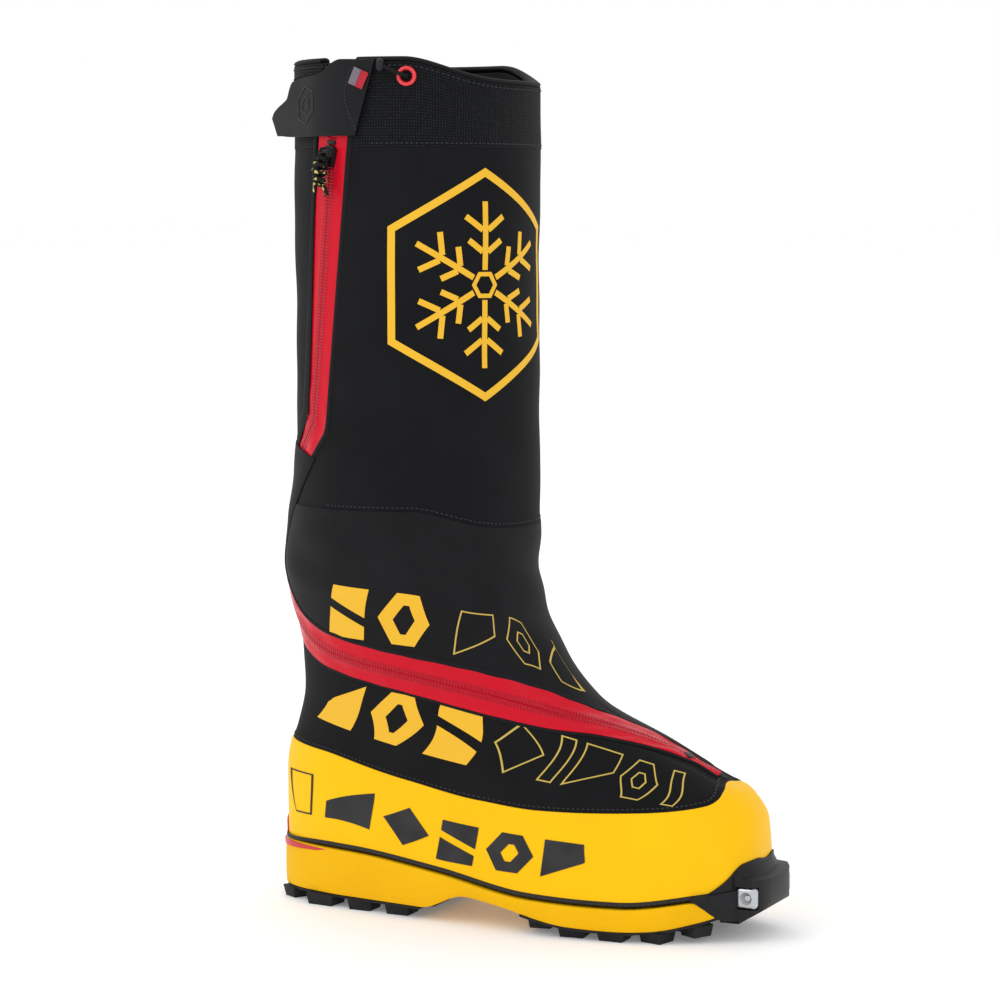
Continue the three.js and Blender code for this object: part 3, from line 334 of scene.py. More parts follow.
# %% The outer and the inner form
FOOT_LENGTH, HEEL_HALF, BALL_HALF = 318.5, 44.0, 58.5
SHAFT_RADIUS, SHAFT_AXIS, RIM_HEIGHT = 75.6, 90.0, 526.0
BACK, FRONT = SHAFT_AXIS - SHAFT_RADIUS, SHAFT_AXIS + SHAFT_RADIUS
outside_rows = smooth_curve([
    [10, 2, FOOT_LENGTH - 0.5, HEEL_HALF - 2, BALL_HALF - 0.5, 2.7],
    [45, 1.5, FOOT_LENGTH, HEEL_HALF, BALL_HALF, 2.7],
    [68, 0.5, FOOT_LENGTH - 1, HEEL_HALF + 0.5, BALL_HALF - 1.5, 2.55],
    [84, 0, FOOT_LENGTH - 9.5, HEEL_HALF + 1, BALL_HALF - 4, 2.4],
    [96, 1.5, FOOT_LENGTH - 30.5, HEEL_HALF + 1.5, BALL_HALF - 6.5, 2.3],
    [112, 7, FOOT_LENGTH - 59.5, HEEL_HALF + 2.5, BALL_HALF - 8.5, 2.2],
    [135, 12.5, FRONT + 46.4, HEEL_HALF + 6, BALL_HALF - 7.5, 2.1],
    [165, 13, FRONT + 20.4, SHAFT_RADIUS - 17.6, SHAFT_RADIUS - 18.6, 2.05],
    [195, BACK - 7.4, FRONT + 5.4, SHAFT_RADIUS - 9.6, SHAFT_RADIUS - 10.6, 2],
    [215, BACK - 10.4, FRONT + 0.9, SHAFT_RADIUS - 5.6, SHAFT_RADIUS - 6.6, 2],
    [245, BACK - 5.4, FRONT, SHAFT_RADIUS - 2.1, SHAFT_RADIUS - 2.1, 2],
    [275, BACK, FRONT, SHAFT_RADIUS, SHAFT_RADIUS, 2],
    [RIM_HEIGHT + 20, BACK, FRONT, SHAFT_RADIUS, SHAFT_RADIUS, 2]])
TUCK = 3.2
inside_rows = smooth_curve([
    [20, 2 + TUCK, FOOT_LENGTH - TUCK, HEEL_HALF - TUCK - 1, BALL_HALF - TUCK, 2.7],
    [45, 1.5 + TUCK, FOOT_LENGTH - TUCK, HEEL_HALF - TUCK, BALL_HALF - TUCK, 2.7],
    [68, 1.5 + TUCK, FOOT_LENGTH - 5.5, HEEL_HALF - TUCK, BALL_HALF - 6, 2.55],
    [84, 8, FOOT_LENGTH - 22, HEEL_HALF - 5, BALL_HALF - 13.5, 2.4],
    [96, 14, FOOT_LENGTH - 62, HEEL_HALF - 7, BALL_HALF - 16, 2.3],
    [112, 20, FOOT_LENGTH - 95, HEEL_HALF - 7.5, BALL_HALF - 17.5, 2.2],
    [135, 24, 188, HEEL_HALF - 5, BALL_HALF - 17, 2.1],
    [165, 25, 162, HEEL_HALF, BALL_HALF - 13, 2.05],
    [195, 25, 149, HEEL_HALF + 3.5, BALL_HALF - 9.5, 2],
    [240, 25, 141, HEEL_HALF + 7, BALL_HALF - 6.5, 2],
    [334, 25, 140, HEEL_HALF + 9, BALL_HALF - 5, 2]])


TOE_BEND, BEND_FROM, BEND_OVER = 8, 150, 170


def toe_bend(x):
    """How far the middle line has bent inward at x."""
    return TOE_BEND * np.maximum(0, (x - BEND_FROM) / BEND_OVER) ** 2


def form(section_of, angle, height):
    """The point of a form at an angle (0 at the toe, negative on the outer side) and a height."""
    angle, height = np.broadcast_arrays(np.asarray(angle, float), np.asarray(height, float))
    back, front, heel, ball, blunt = np.moveaxis(section_of(height), -1, 0)
    c, s = np.cos(np.radians(angle)), np.sin(np.radians(angle))
    x = (back + front) / 2 + (front - back) / 2 * np.sign(c) * np.abs(c) ** (2 / blunt)
    width = heel + (ball - heel) * smoothstep(x, 0.19 * FOOT_LENGTH, 0.72 * FOOT_LENGTH)
    return np.stack([x, width * np.sign(s) * np.abs(s) ** (2 / blunt) + toe_bend(x), height], axis=-1)


def slopes(section_of, angle, height, step):
    """How the form's point moves with angle and with height, over twice the step."""
    return (form(section_of, angle + step, height) - form(section_of, angle - step, height),
            form(section_of, angle, height + step) - form(section_of, angle, height - step))


def outward(section_of, angle, height):
    normal = np.cross(*slopes(section_of, angle, height, 0.4))
    return normal / np.linalg.norm(normal, axis=-1, keepdims=True)


def on_form(section_of, angle, height, out):
    return form(section_of, angle, height) + outward(section_of, angle, height) * np.asarray(out)[..., None]


# %% The long curves of the sole and the edges of the panels
def sole_curve(rows):
    curve = smooth_curve([[share * FOOT_LENGTH, height] for share, height in rows])
    return lambda x: curve(x)[..., 0]


welt_foot = sole_curve([[0, 38], [0.19, 37], [0.4, 31], [0.6, 22], [0.78, 20.5], [0.93, 26.5], [1.04, 31]])
midsole_foot = sole_curve([[0, 8.3], [0.36, 8.3], [0.46, 18.5], [0.53, 16], [0.68, 7.5], [0.78, 6.5],
                           [0.84, 7.5], [0.92, 13], [1.04, 24]])
WELT_HEIGHT = 4.5


def welt_line(angle):
    return welt_foot(form(outside_rows, angle, 40.0)[..., 0])


rand_curve = smooth_curve([[0, 92], [14, 88.5], [30, 81.5], [55, 77.5], [80, 76], [105, 86], [135, 98],
                           [180, 102]])


def rand_top(angle):
    return rand_curve(np.abs(angle))[..., 0]


def shaft_foot(angle):
    return 254 - 12 * smoothstep(np.cos(np.radians(angle)), 0.4, 1)


def rim(angle):
    return RIM_HEIGHT - 13 * smoothstep(np.cos(np.radians(angle)), 0.35, 1)


def level(height):
    """An edge at one height all the way round."""
    return lambda angle: np.full_like(np.asarray(angle, float), height)


def wrap(angle):
    """Angles past the back of the heel go on from -180."""
    return np.where(angle > 180, angle - 360, angle)


# %% [markdown]
# ## The line of the zip
# The zip leaves the ridge of the toe, crosses the outer side, swings round the back of the ankle and
# runs straight up the shaft. We keep its middle line as a row of close points, because the panels need
# it too: they are pressed in a little where the zip lies over them.

# %% The zip's middle line
LOW_RUN = [[1, 95], [0, 103], [-4, 111], [-11, 118.5], [-22, 125.5], [-35, 131], [-55, 141], [-72, 148],
           [-92, 155], [-113, 161], [-129, 167], [-144, 177], [-156, 193], [-162, 212], [-161, 232],
           [-154, 253], [-143, 272], [-131, 290], [-119.5, 306]]
RUN_LOW, RUN_HIGH, TAPE_TOP = 306.0, 481.0, 513.0
RUN_FOOT = on_form(outside_rows, -119.5, RUN_LOW, 0.0)
RUN_TOP = on_form(outside_rows, -105.0, RUN_HIGH, 0.0)


def lengths(points):
    """The distance along a row of points, at each of them."""
    return np.concatenate([[0], np.cumsum(np.linalg.norm(np.diff(points, axis=0), axis=1))])


def through(points, per_span):
    """A flowing curve through points, with a few spots between each two."""
    points = np.array(points, float)
    padded = np.vstack([2 * points[0] - points[1], points, 2 * points[-1] - points[-2]])
    t = np.linspace(0, 1, per_span, endpoint=False)[:, None]
    spans = []
    for a, b, c, d in zip(padded, padded[1:], padded[2:], padded[3:]):
        spans.append(0.5 * (2 * b + (c - a) * t + (2 * a - 5 * b + 4 * c - d) * t ** 2
                            + (3 * b - a - 3 * c + d) * t ** 3))
    return np.vstack(spans + [points[-1:]])


low_line = through(LOW_RUN, 24)
high_heights = np.linspace(RUN_LOW, TAPE_TOP, 200)[1:]
high_spots = RUN_FOOT + (RUN_TOP - RUN_FOOT) * ((high_heights - RUN_LOW) / (RUN_HIGH - RUN_LOW))[:, None]
high_angles = np.degrees(np.arctan2(high_spots[:, 1], high_spots[:, 0] - SHAFT_AXIS))
high_sink = SHAFT_RADIUS - np.hypot(high_spots[:, 0] - SHAFT_AXIS, high_spots[:, 1])
zip_angle = np.concatenate([low_line[:, 0], high_angles])
zip_height = np.concatenate([low_line[:, 1], high_heights])
zip_sink = np.concatenate([np.zeros(len(low_line)), high_sink])
zip_spots = on_form(outside_rows, zip_angle, zip_height, -zip_sink)
zip_length = lengths(zip_spots)
even = np.linspace(0, zip_length[-1], 900)
zip_angle, zip_height, zip_sink = (np.interp(even, zip_length, v) for v in (zip_angle, zip_height, zip_sink))
zip_spots = on_form(outside_rows, zip_angle, zip_height, -zip_sink)
print("zip is", round(zip_length[-1]), "mm long")

zip_tree = KDTree(len(zip_spots))
for number, spot in enumerate(zip_spots):
    zip_tree.insert(spot, number)
zip_tree.balance()

# %% [markdown]
# Cloth on a boot is never quite even. Slow waves of about half a millimetre run over the whole gaiter,
# and they die out near the zip, where the cloth is held. All panels and prints share them.

# %% Folds, and the bed of the zip
TAPE_HALF = 12.0


def settle(points, angle, height):
    """How far the cloth stands out or is pressed in, in millimetres."""
    away = np.array([zip_tree.find(p)[2] for p in points.reshape(-1, 3)]).reshape(points.shape[:-1])
    bed = -0.9 * (1 - smoothstep(away, TAPE_HALF - 0.5, TAPE_HALF + 2.5))
    wave = (0.45 * np.sin(0.10 * angle + 0.023 * height) + 0.3 * np.sin(0.061 * height - 0.045 * angle)
            + 0.2 * np.sin(0.13 * height + 0.09 * angle))
    crease = 0.7 * np.sin(0.19 * height + 0.05 * angle) * np.exp(-((height - 205) / 45) ** 2)
    held = smoothstep(away, 14, 45) * smoothstep(height, 90, 150) * (1 - smoothstep(height, 455, 505))
    return bed + (wave + crease) * held


def skin(angle, height, out=0.0):
    """A point on the gaiter, a little way out from the cloth."""
    points = form(outside_rows, angle, height)
    rise = settle(points, angle, height) + out
    return points + outward(outside_rows, angle, height) * rise[..., None]


# %% [markdown]
# ## Tools for sheets
# A panel starts as a flat grid, like cloth on the cutting table, and every point is then carried to its
# place on the boot. The grid keeps its measured flat size as its UV map, so a weave has real thread
# sizes. Solidify gives it thickness, Bevel rounds its cut edges.

# %% Sheets
def start_clean():
    if bpy.context.object and bpy.context.object.mode != "OBJECT":
        bpy.ops.object.mode_set(mode="OBJECT")
    bpy.ops.object.select_all(action="DESELECT")


def only(piece):
    start_clean()
    piece.select_set(True)
    bpy.context.view_layer.objects.active = piece
    return piece


def set_points(piece, points):
    piece.data.vertices.foreach_set("co", np.asarray(points, float).ravel())
    piece.data.update()


def points_of(piece):
    flat = np.empty(3 * len(piece.data.vertices))
    piece.data.vertices.foreach_get("co", flat)
    return flat.reshape(-1, 3)


def stretch_uv(piece, width, height, origin=(0.0, 0.0)):
    """Scales the flat UV map to real metres."""
    layer = piece.data.uv_layers.active.data
    flat = np.empty(2 * len(layer))
    layer.foreach_get("uv", flat)
    flat = flat.reshape(-1, 2) * (width / 1000, height / 1000) - np.array(origin) / 1000
    layer.foreach_set("uv", flat.ravel())


def named(name):
    """Names the piece that the last operator made."""
    piece = bpy.context.object
    piece.name = piece.data.name = name
    return piece


NORMALS_OUT = (bpy.ops.mesh.normals_make_consistent, {"inside": False})
FILL_HOLES = (bpy.ops.mesh.fill_holes, {"sides": 0})


def weld(distance):
    return bpy.ops.mesh.remove_doubles, {"threshold": distance}


def edit(piece, *steps):
    """Selects the whole mesh in edit mode and runs operators on it."""
    only(piece)
    bpy.ops.object.mode_set(mode="EDIT")
    bpy.ops.mesh.select_all(action="SELECT")
    for step, settings in steps:
        step(**settings)
    bpy.ops.object.mode_set(mode="OBJECT")


def apply(piece, kind, **settings):
    only(piece)
    modifier = piece.modifiers.new(kind.lower(), kind)
    for name, value in settings.items():
        setattr(modifier, name, value)
    bpy.ops.object.modifier_apply(modifier=modifier.name)
    return piece


def smooth(piece, degrees=50):
    only(piece)
    bpy.ops.object.shade_smooth_by_angle(angle=math.radians(degrees))
    return piece


def sheet(name, across, up, place, size, wall=0.0, closed=False, edge=0.0, smooth_angle=50):
    """A grid of across by up faces, whose point at (s, t) goes to place(s, t) in boot millimetres."""
    start_clean()
    bpy.ops.mesh.primitive_grid_add(x_subdivisions=across, y_subdivisions=up, size=2, calc_uvs=True)
    piece = named(name)
    flat = points_of(piece)
    set_points(piece, metres(place((flat[:, 0] + 1) / 2, (flat[:, 1] + 1) / 2)))
    stretch_uv(piece, *size)
    if closed:
        edit(piece, weld(1e-6))
    if wall:
        apply(piece, "SOLIDIFY", thickness=wall / 1000, offset=-1, use_rim=True, use_even_offset=False)
    if edge:
        apply(piece, "BEVEL", width=edge / 1000, segments=2, limit_method="ANGLE",
              angle_limit=math.radians(60))
    return smooth(piece, smooth_angle)


def dress(piece, material, body="boot", stands_for=()):
    """Gives a piece its finish, the body it rides on, and the frame's nodes that it replaces."""
    piece.data.materials.clear()
    piece.data.materials.append(material)
    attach(piece, body)
    if stands_for:
        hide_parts(*stands_for)
    return piece


def turn_of(height):
    """Angles all the way round that are evenly spaced on the ground, at one height."""
    fine = np.linspace(-180, 180, 3601)
    length = lengths(form(outside_rows, fine, float(height)))
    return (lambda s: np.interp(s * length[-1], length, fine)), length[-1]


def panel(name, level, foot, top, out, columns, rows, wall=2.0, edge=0.4):
    """A panel all the way round the boot, between two edge curves over the angle."""
    angle_at, girth = turn_of(level)

    def place(s, t):
        angle = angle_at(s)
        height = foot(angle) + (top(angle) - foot(angle)) * t
        return skin(angle, height, out)

    tall = float(np.mean(top(np.linspace(-180, 180, 40)) - foot(np.linspace(-180, 180, 40))))
    return sheet(name, columns, rows, place, (girth, tall), wall, closed=True, edge=edge)


# %% [markdown]
# ## The rand and the cloth panels
# The coated rand wraps the foot from the welt up. Above it come the lower panel, the ankle patch with
# its curved top seam, the long shaft, and the mesh collar. Each panel tucks a little under the next, as
# the sewn originals do, so no gap can open.

# %% Rand
def welt_tall(angle):
    """The welt is thin where it runs over the crampon ledge at the back."""
    return WELT_HEIGHT * (0.45 + 0.55 * smoothstep(180 - np.abs(angle), 16, 52))


def rand_foot(angle):
    return welt_line(angle) + welt_tall(angle) - 1.2


RAND_OUT = 0.7
rand = panel("coated_rand_sheet", 60, rand_foot, rand_top, RAND_OUT, 420, 44, wall=2.6, edge=0.7)
dress(rand, coated_fabric, stands_for=["rubber_rand"])
print("rand", len(rand.data.polygons), "faces")

# %% Panels of the gaiter
seam_curve = smooth_curve([[-180, 192], [-163, 214], [-156, 193], [-144, 177], [-129, 167], [-113, 161],
                           [-92, 155], [-72, 148], [-55, 141], [-35, 131], [-22, 125.5], [-11, 118.5],
                           [-4, 111], [0, 103], [1, 95], [30, 112], [60, 130], [90, 146], [120, 158],
                           [150, 172], [180, 192]])


def seam(angle):
    return np.maximum(seam_curve(angle)[..., 0], rand_top(angle) + 1)


lower_panel = panel("lower_cloth_panel", 95, lambda a: rand_top(a) - 4, seam, 0.0, 400, 36)
dress(lower_panel, lower_cloth, stands_for=["lower_panel"])

ankle_patch = panel("ankle_cloth_patch", 150, lambda a: seam(a) - 2, shaft_foot, 0.5, 340, 56, edge=0.5)
dress(ankle_patch, laminate_cloth, stands_for=["ankle_patch"])

COLLAR_SEAM = 472.0
shaft = panel("shaft_cloth", 300, lambda a: shaft_foot(a) - 4, level(COLLAR_SEAM + 1.5), 0.0, 260, 96)
dress(shaft, stretch_cloth, stands_for=["gaiter_shaft"])

BINDING = 4.0
collar = panel("collar_mesh_band", 500, level(COLLAR_SEAM), lambda a: rim(a) - BINDING + 0.6,
               0.35, 260, 40, wall=2.2)
dress(collar, collar_mesh, stands_for=["collar_band"])
print("panels made")

# %% [markdown]
# ## The zip
# The tapes are one long strip with a low ridge over the coil, a slit along the middle, and soft ripples
# where the zip bends. Black raised edges hold the strip on both sides. To find a spot beside the zip we
# walk sideways along the surface: first in angle and height, and then straight out.

# %% Spots beside the zip
def beside_zip(share, side, out):
    """A spot at a share of the zip's length, a way to its side (up is positive), and a way out."""
    k = share * (len(zip_angle) - 1)
    number = np.arange(len(zip_angle))
    angle, height, sink = (np.interp(k, number, v) for v in (zip_angle, zip_height, zip_sink))

    def middle(step):
        near = np.clip(k + step, 0, number[-1])
        return form(outside_rows, np.interp(near, number, zip_angle), np.interp(near, number, zip_height))

    per_angle, per_height = slopes(outside_rows, angle, height, 0.5)
    across = np.cross(middle(3) - middle(-3), np.cross(per_angle, per_height))
    across *= (side / np.linalg.norm(across, axis=-1))[..., None]
    aa, ah, hh = ((p * q).sum(-1) for p, q in ((per_angle, per_angle), (per_angle, per_height),
                                               (per_height, per_height)))
    ra, rh = (per_angle * across).sum(-1), (per_height * across).sum(-1)
    scale = aa * hh - ah * ah
    turned = angle + (ra * hh - rh * ah) / scale
    raised = height + (rh * aa - ra * ah) / scale
    return on_form(outside_rows, turned, raised, out - sink)


def tape_half(share):
    """The zip narrows towards its end at the toe."""
    return TAPE_HALF * (0.3 + 0.7 * smoothstep(share, 0.0, 0.1))


ZIP_TOTAL = float(zip_length[-1])
STRAIGHT_FROM = 1 - (TAPE_TOP - RUN_LOW) / ZIP_TOTAL


# %% Tapes
def tape_spot(s, t):
    side = 2 * t - 1
    reach = np.abs(side) * TAPE_HALF
    bends = 1 - smoothstep(s, STRAIGHT_FROM, STRAIGHT_FROM + 0.05)
    ridge = 0.35 * np.exp(-(reach / 4.6) ** 4) - 0.5 * np.exp(-(reach / 0.45) ** 2)
    ripple = (0.35 * np.sin(2 * math.pi * s * ZIP_TOTAL / 23 + 1.6 * side) * bends
              + 0.3 * np.sin(2 * math.pi * s * ZIP_TOTAL / 61 + 2.1 * side) * bends)
    ripple *= np.exp(-((reach - 8) / 3.4) ** 2)
    return beside_zip(s, side * tape_half(s), -0.15 + ridge + ripple + 0.25 * bends)


tapes = sheet("coated_zip_tapes", 620, 40, tape_spot, (ZIP_TOTAL, 2 * TAPE_HALF), wall=0.7)
stretch_uv(tapes, 1000, 1000, (0, TAPE_HALF))
dress(tapes, zip_coating, stands_for=["zip_tape_front", "zip_tape_back", "zip_coil"])


# %% Raised edges along the zip
def zip_edge(name, way):
    """A rounded black strip along one side of the zip, made as a half tube."""
    def place(s, t):
        turn = math.pi * (t - 0.5) * 1.15
        middle = tape_half(s) + 0.9
        return beside_zip(s, way * (middle + 1.6 * np.sin(turn)), -0.5 + 1.15 * np.cos(turn))

    edge_strip = sheet(name, 480, 8, place, (ZIP_TOTAL, 5), wall=0.5)
    if way < 0:
        edit(edge_strip, NORMALS_OUT)
    return dress(edge_strip, binding_tape)


for edge_name, way in (("zip_edge_upper", 1), ("zip_edge_lower", -1)):
    zip_edge(edge_name, way)
print("zip made")

# %% [markdown]
# ## Prints
# The decoration is plain geometry: slats, wedges, diamonds and hexagons, first as solid ink and then
# only as outlines. Each shape is a few four-cornered patches. We lay a fine grid in every patch, join
# the grids, and wrap the whole row onto the cloth, so the ink follows every curve.

# %% Flat shapes from patches
def ring_of(outline, width):
    """Patches between a closed outline and the same outline moved inwards."""
    points = np.array(outline, float)
    inner = []
    for before, spot, after in zip(np.roll(points, 1, 0), points, np.roll(points, -1, 0)):
        a, b = (spot - before), (after - spot)
        a, b = a / np.linalg.norm(a), b / np.linalg.norm(b)
        left_a, left_b = np.array([-a[1], a[0]]), np.array([-b[1], b[0]])
        mitre = (left_a + left_b) / (1 + left_a @ left_b)
        inner.append(spot + mitre * width)
    inner = np.array(inner)
    return [[points[i], points[(i + 1) % len(points)], inner[(i + 1) % len(points)], inner[i]]
            for i in range(len(points))]


def lay_patches(name, patches, grid_size=2.2):
    """One flat mesh of fine grids, one grid for every patch, still in pattern millimetres."""
    grids = []
    for corners in patches:
        a, b, c, d = (np.array(corner, float) for corner in corners)
        long_side = max(np.linalg.norm(b - a), np.linalg.norm(c - d))
        short_side = max(np.linalg.norm(d - a), np.linalg.norm(c - b))
        start_clean()
        bpy.ops.mesh.primitive_grid_add(x_subdivisions=max(1, math.ceil(long_side / grid_size)),
                                        y_subdivisions=max(1, math.ceil(short_side / grid_size)), size=2)
        grid = bpy.context.object
        flat = points_of(grid)
        s, t = (flat[:, 0:1] + 1) / 2, (flat[:, 1:2] + 1) / 2
        spots = (a * (1 - s) + b * s) * (1 - t) + (d * (1 - s) + c * s) * t
        set_points(grid, np.hstack([spots, np.zeros((len(spots), 1))]))
        grids.append(grid)
    start_clean()
    for grid in grids:
        grid.select_set(True)
    bpy.context.view_layer.objects.active = grids[0]
    if len(grids) > 1:
        bpy.ops.object.join()
    layout = named(name)
    edit(layout, weld(0.02), NORMALS_OUT)
    if layout.data.polygons[0].normal.z < 0:
        edit(layout, (bpy.ops.mesh.flip_normals, {}))
    return layout


INK_WALL = 0.25


def wrap_print(layout, place, material):
    """Carries a flat layout to the boot and gives it the thickness of a layer of ink."""
    flat = points_of(layout)
    set_points(layout, metres(place(flat[:, 0], flat[:, 1])))
    apply(layout, "SOLIDIFY", thickness=INK_WALL / 1000, offset=-1, use_even_offset=False)
    return dress(smooth(layout, 40), material)


# %% The shapes, one unit high
LEAN = 3.0                # every shape leans forward by this much, in mm
SOLID_BAND = 7.0          # width of a solid hexagon's ring
HEXAGON = [(0.28, 0), (0.72, 0), (1, 0.5), (0.72, 1), (0.28, 1), (0, 0.5)]
SHAPES = {
    "split": [[(0, 0), (1, 0), (1, 0.26), (0, 0.56)], [(0, 0.74), (1, 0.44), (1, 1), (0, 1)]],
    "slat": [[(0, 0), (1, 0), (1, 1), (0, 1)]],
    "rise": [[(0, 0), (1, 0), (1, 1), (0, 0.42)]],
    "fall": [[(0, 0), (1, 0.52), (1, 1), (0, 1)]],
    "diamond": [[(0, 0.5), (0.5, 0), (1, 0.5), (0.5, 1)]],
    "hexagon": [HEXAGON],
}


# %% [markdown]
# A row of print runs between two curves on the boot, its foot and its top. Both are tables over the
# distance along the row. Along the flat sides of the foot the angle changes very unevenly, so we tell
# each place by how far forward it is on its oval, and turn that back into an angle.

# %% Rows of print
def forwardness(angle, height):
    blunt = outside_rows(height)[..., 4]
    c = np.cos(np.radians(angle))
    return np.sign(c) * np.abs(c) ** (2 / blunt)


def outer_angle(forward, height):
    blunt = outside_rows(height)[..., 4]
    return -np.degrees(np.arccos(np.clip(np.sign(forward) * np.abs(forward) ** (blunt / 2), -1, 1)))


def print_row(foot_rows, top_rows, out):
    """Turns (distance along, share of the height) into a spot on the boot."""
    def curve(rows):
        return smooth_curve([[u, forwardness(np.array(float(angle)), np.array(float(z))), z]
                             for u, angle, z in rows], free_ends=True)

    foot, top = curve(foot_rows), curve(top_rows)

    def place(u, v):
        spot = foot(u) * (1 - v)[:, None] + top(u) * v[:, None]
        return skin(outer_angle(spot[:, 0], spot[:, 1]), spot[:, 1], out)

    return place


def row_patches(shapes, tall):
    """Patches of shapes, each (kind, left, width, line width); a line of 0 makes it solid."""
    patches = []
    for kind, left, width, line in shapes:
        for outline in SHAPES[kind]:
            spots = [(left + x * width + LEAN * y, y * tall) for x, y in outline]
            if line or kind == "hexagon":
                patches += ring_of(spots, line or SOLID_BAND)
            else:
                patches.append(spots)
        if line and kind == "hexagon":
            middle = np.mean(spots, axis=0)
            patches += ring_of([middle + 0.42 * (np.array(spot) - middle) for spot in spots], line)
    return patches


def print_shapes(name, shapes, tall, place, material):
    layout = lay_patches(name, row_patches(shapes, tall))
    return wrap_print(layout, lambda u, v: place(u, v / tall), material)


# %% Upper row, over the ankle
upper = print_row([[0, -118, 175], [47, -77, 171], [66, -64, 167], [110, -29, 159], [143, 4, 141]],
                  [[0, -107, 208], [47, -67, 203], [74, -47, 193], [110, -26, 188], [143, -3, 172]], 0.85)
LINE = 0.9
print_shapes("upper_print_solid", [("split", 0, 20, 0), ("hexagon", 27, 27, 0)], 33, upper, print_gold)
print_shapes("upper_print_outline",
             [("fall", 68, 24, LINE), ("hexagon", 99, 26, LINE), ("rise", 131, 12, LINE)], 31, upper,
             print_pale)

# %% Lower row, under the zip
lower = print_row([[0, -142, 119], [84, -89, 99], [125, -73, 93], [199, -40, 81]],
                  [[9, -122, 146], [84, -68, 133], [133, -45, 117], [207, -12, 96]], 0.35)
print_shapes("lower_print_solid",
             [("rise", 2, 22, 0), ("hexagon", 30, 26, 0), ("split", 62, 22, 0)], 34, lower, print_gold)
print_shapes("lower_print_outline",
             [("diamond", 90, 26, LINE), ("slat", 121, 8, LINE), ("fall", 134, 22, LINE),
              ("hexagon", 160, 22, LINE), ("slat", 188, 7, LINE)], 31, lower, print_pale)

# %% Row on the rand
rand_row = print_row([[4, -151, 56], [24, -129, 56], [87, -95, 39], [161, -71, 36]],
                     [[0, -171, 83], [24, -131, 81], [87, -95, 64], [161, -71, 58]], RAND_OUT + 0.35)
print_shapes("rand_print_outline", [("slat", 1, 12, LINE)], 26, rand_row, print_charcoal)
print_shapes("rand_print_solid",
             [("rise", 20, 24, 0), ("diamond", 50, 25, 0), ("split", 81, 20, 0), ("hexagon", 107, 26, 0),
              ("fall", 138, 22, 0)], 26, rand_row, print_charcoal)

# %% [markdown]
# The big motif on the shaft is a six-sided frame round a snow crystal. Its arms are one arm, turned five
# times.

# %% Snow crystal in a hexagon
CREST_ANGLE, CREST_HEIGHT, CREST_RADIUS, CORE_RADIUS, STROKE = -31.0, 390.0, 70.0, 9.0, 3.6


def six_corners(wide, tall, first=0):
    return [(wide * math.cos(math.radians(60 * i + first)), tall * math.sin(math.radians(60 * i + first)))
            for i in range(6)]


def stroke(start, end, width):
    start, end = np.array(start, float), np.array(end, float)
    along = (end - start) / np.linalg.norm(end - start)
    across = np.array([-along[1], along[0]]) * width / 2
    return [start - across, end - across, end + across, start + across]


def turned(quad, degrees):
    c, s = math.cos(math.radians(degrees)), math.sin(math.radians(degrees))
    return [(c * x - s * y, s * x + c * y) for x, y in quad]


arm = [stroke((0, CORE_RADIUS), (0, 50), STROKE)]
for start, reach in ((20, 11), (33, 13)):
    arm += [stroke((way * STROKE / 2, start), (way * reach, start + reach * 0.62), STROKE) for way in (-1, 1)]
crystal = [turned(quad, 60 * i) for i in range(6) for quad in arm]
crest = lay_patches("shaft_crest_print", ring_of(six_corners(CREST_RADIUS, CREST_RADIUS, 30), 4.6) + crystal
                    + ring_of(six_corners(CORE_RADIUS, CORE_RADIUS), 2.6))
wrap_print(crest, lambda x, y: skin(CREST_ANGLE + np.degrees(x / SHAFT_RADIUS), CREST_HEIGHT + y, 0.35),
           print_gold)
print("prints made")

# %% [markdown]
# ## Rings, slabs and stitches
# Three more tools make the rest of the soft and moulded pieces. A ring is a closed band with rounded
# lips, whose inner face can swell between its seams, as padding does. A slab is a closed plate over the
# sole's outline. A row of stitches is one small thread, copied by an Array and wrapped on like the ink.

# %% Rings with rounded lips

def ring_section(t):
    """Goes once round a band's section. Gives the share of its depth and height, and how far it swells."""
    turn = np.interp(t, [0, 0.40, 0.5, 0.90, 1], [0, 1, 2, 3, 4])
    face, part = np.floor(np.minimum(turn, 3.9999)), turn - np.floor(np.minimum(turn, 3.9999))
    lip = math.pi * part
    depth = np.select([face == 0, face == 1, face == 2], [0, (1 - np.cos(lip)) / 2, 1], (1 + np.cos(lip)) / 2)
    height = np.select([face == 0, face == 1, face == 2], [part, 1, 1 - part], 0)
    bulge = np.select([face == 1, face == 3], [np.sin(lip), -np.sin(lip)], 0)
    inner = np.where(face == 2, np.sin(math.pi * part) ** 0.35, 0)
    return depth, height, bulge, inner


def ring(name, section_of, foot, top, outer, inner, columns, rows, turn=(-180, 180), puff=None):
    """A band between two depths under a form. puff(angle, height) swells its inner face, in mm."""
    def place(s, t):
        angle = turn[0] + (turn[1] - turn[0]) * s
        depth, share, bulge, inside = ring_section(t)
        half = (inner - outer) / 2
        low, high = foot(angle) + half * 0.6, top(angle) - half * 0.6
        height = low + (high - low) * share + bulge * half * 0.6
        swell = puff(angle, height) * inside if puff else 0.0
        return on_form(section_of, angle, height, -(outer + (inner - outer) * depth + swell))

    tall = float(top(np.zeros(1))[0] - foot(np.zeros(1))[0])
    piece = sheet(name, columns, rows, place, (360, 2 * tall), closed=True)
    if turn[1] - turn[0] < 360:
        edit(piece, FILL_HOLES)
    edit(piece, NORMALS_OUT)
    return piece


# %% Slabs over the sole's outline
SLAB_LEVEL = 45.0         # the height at which the outline is taken


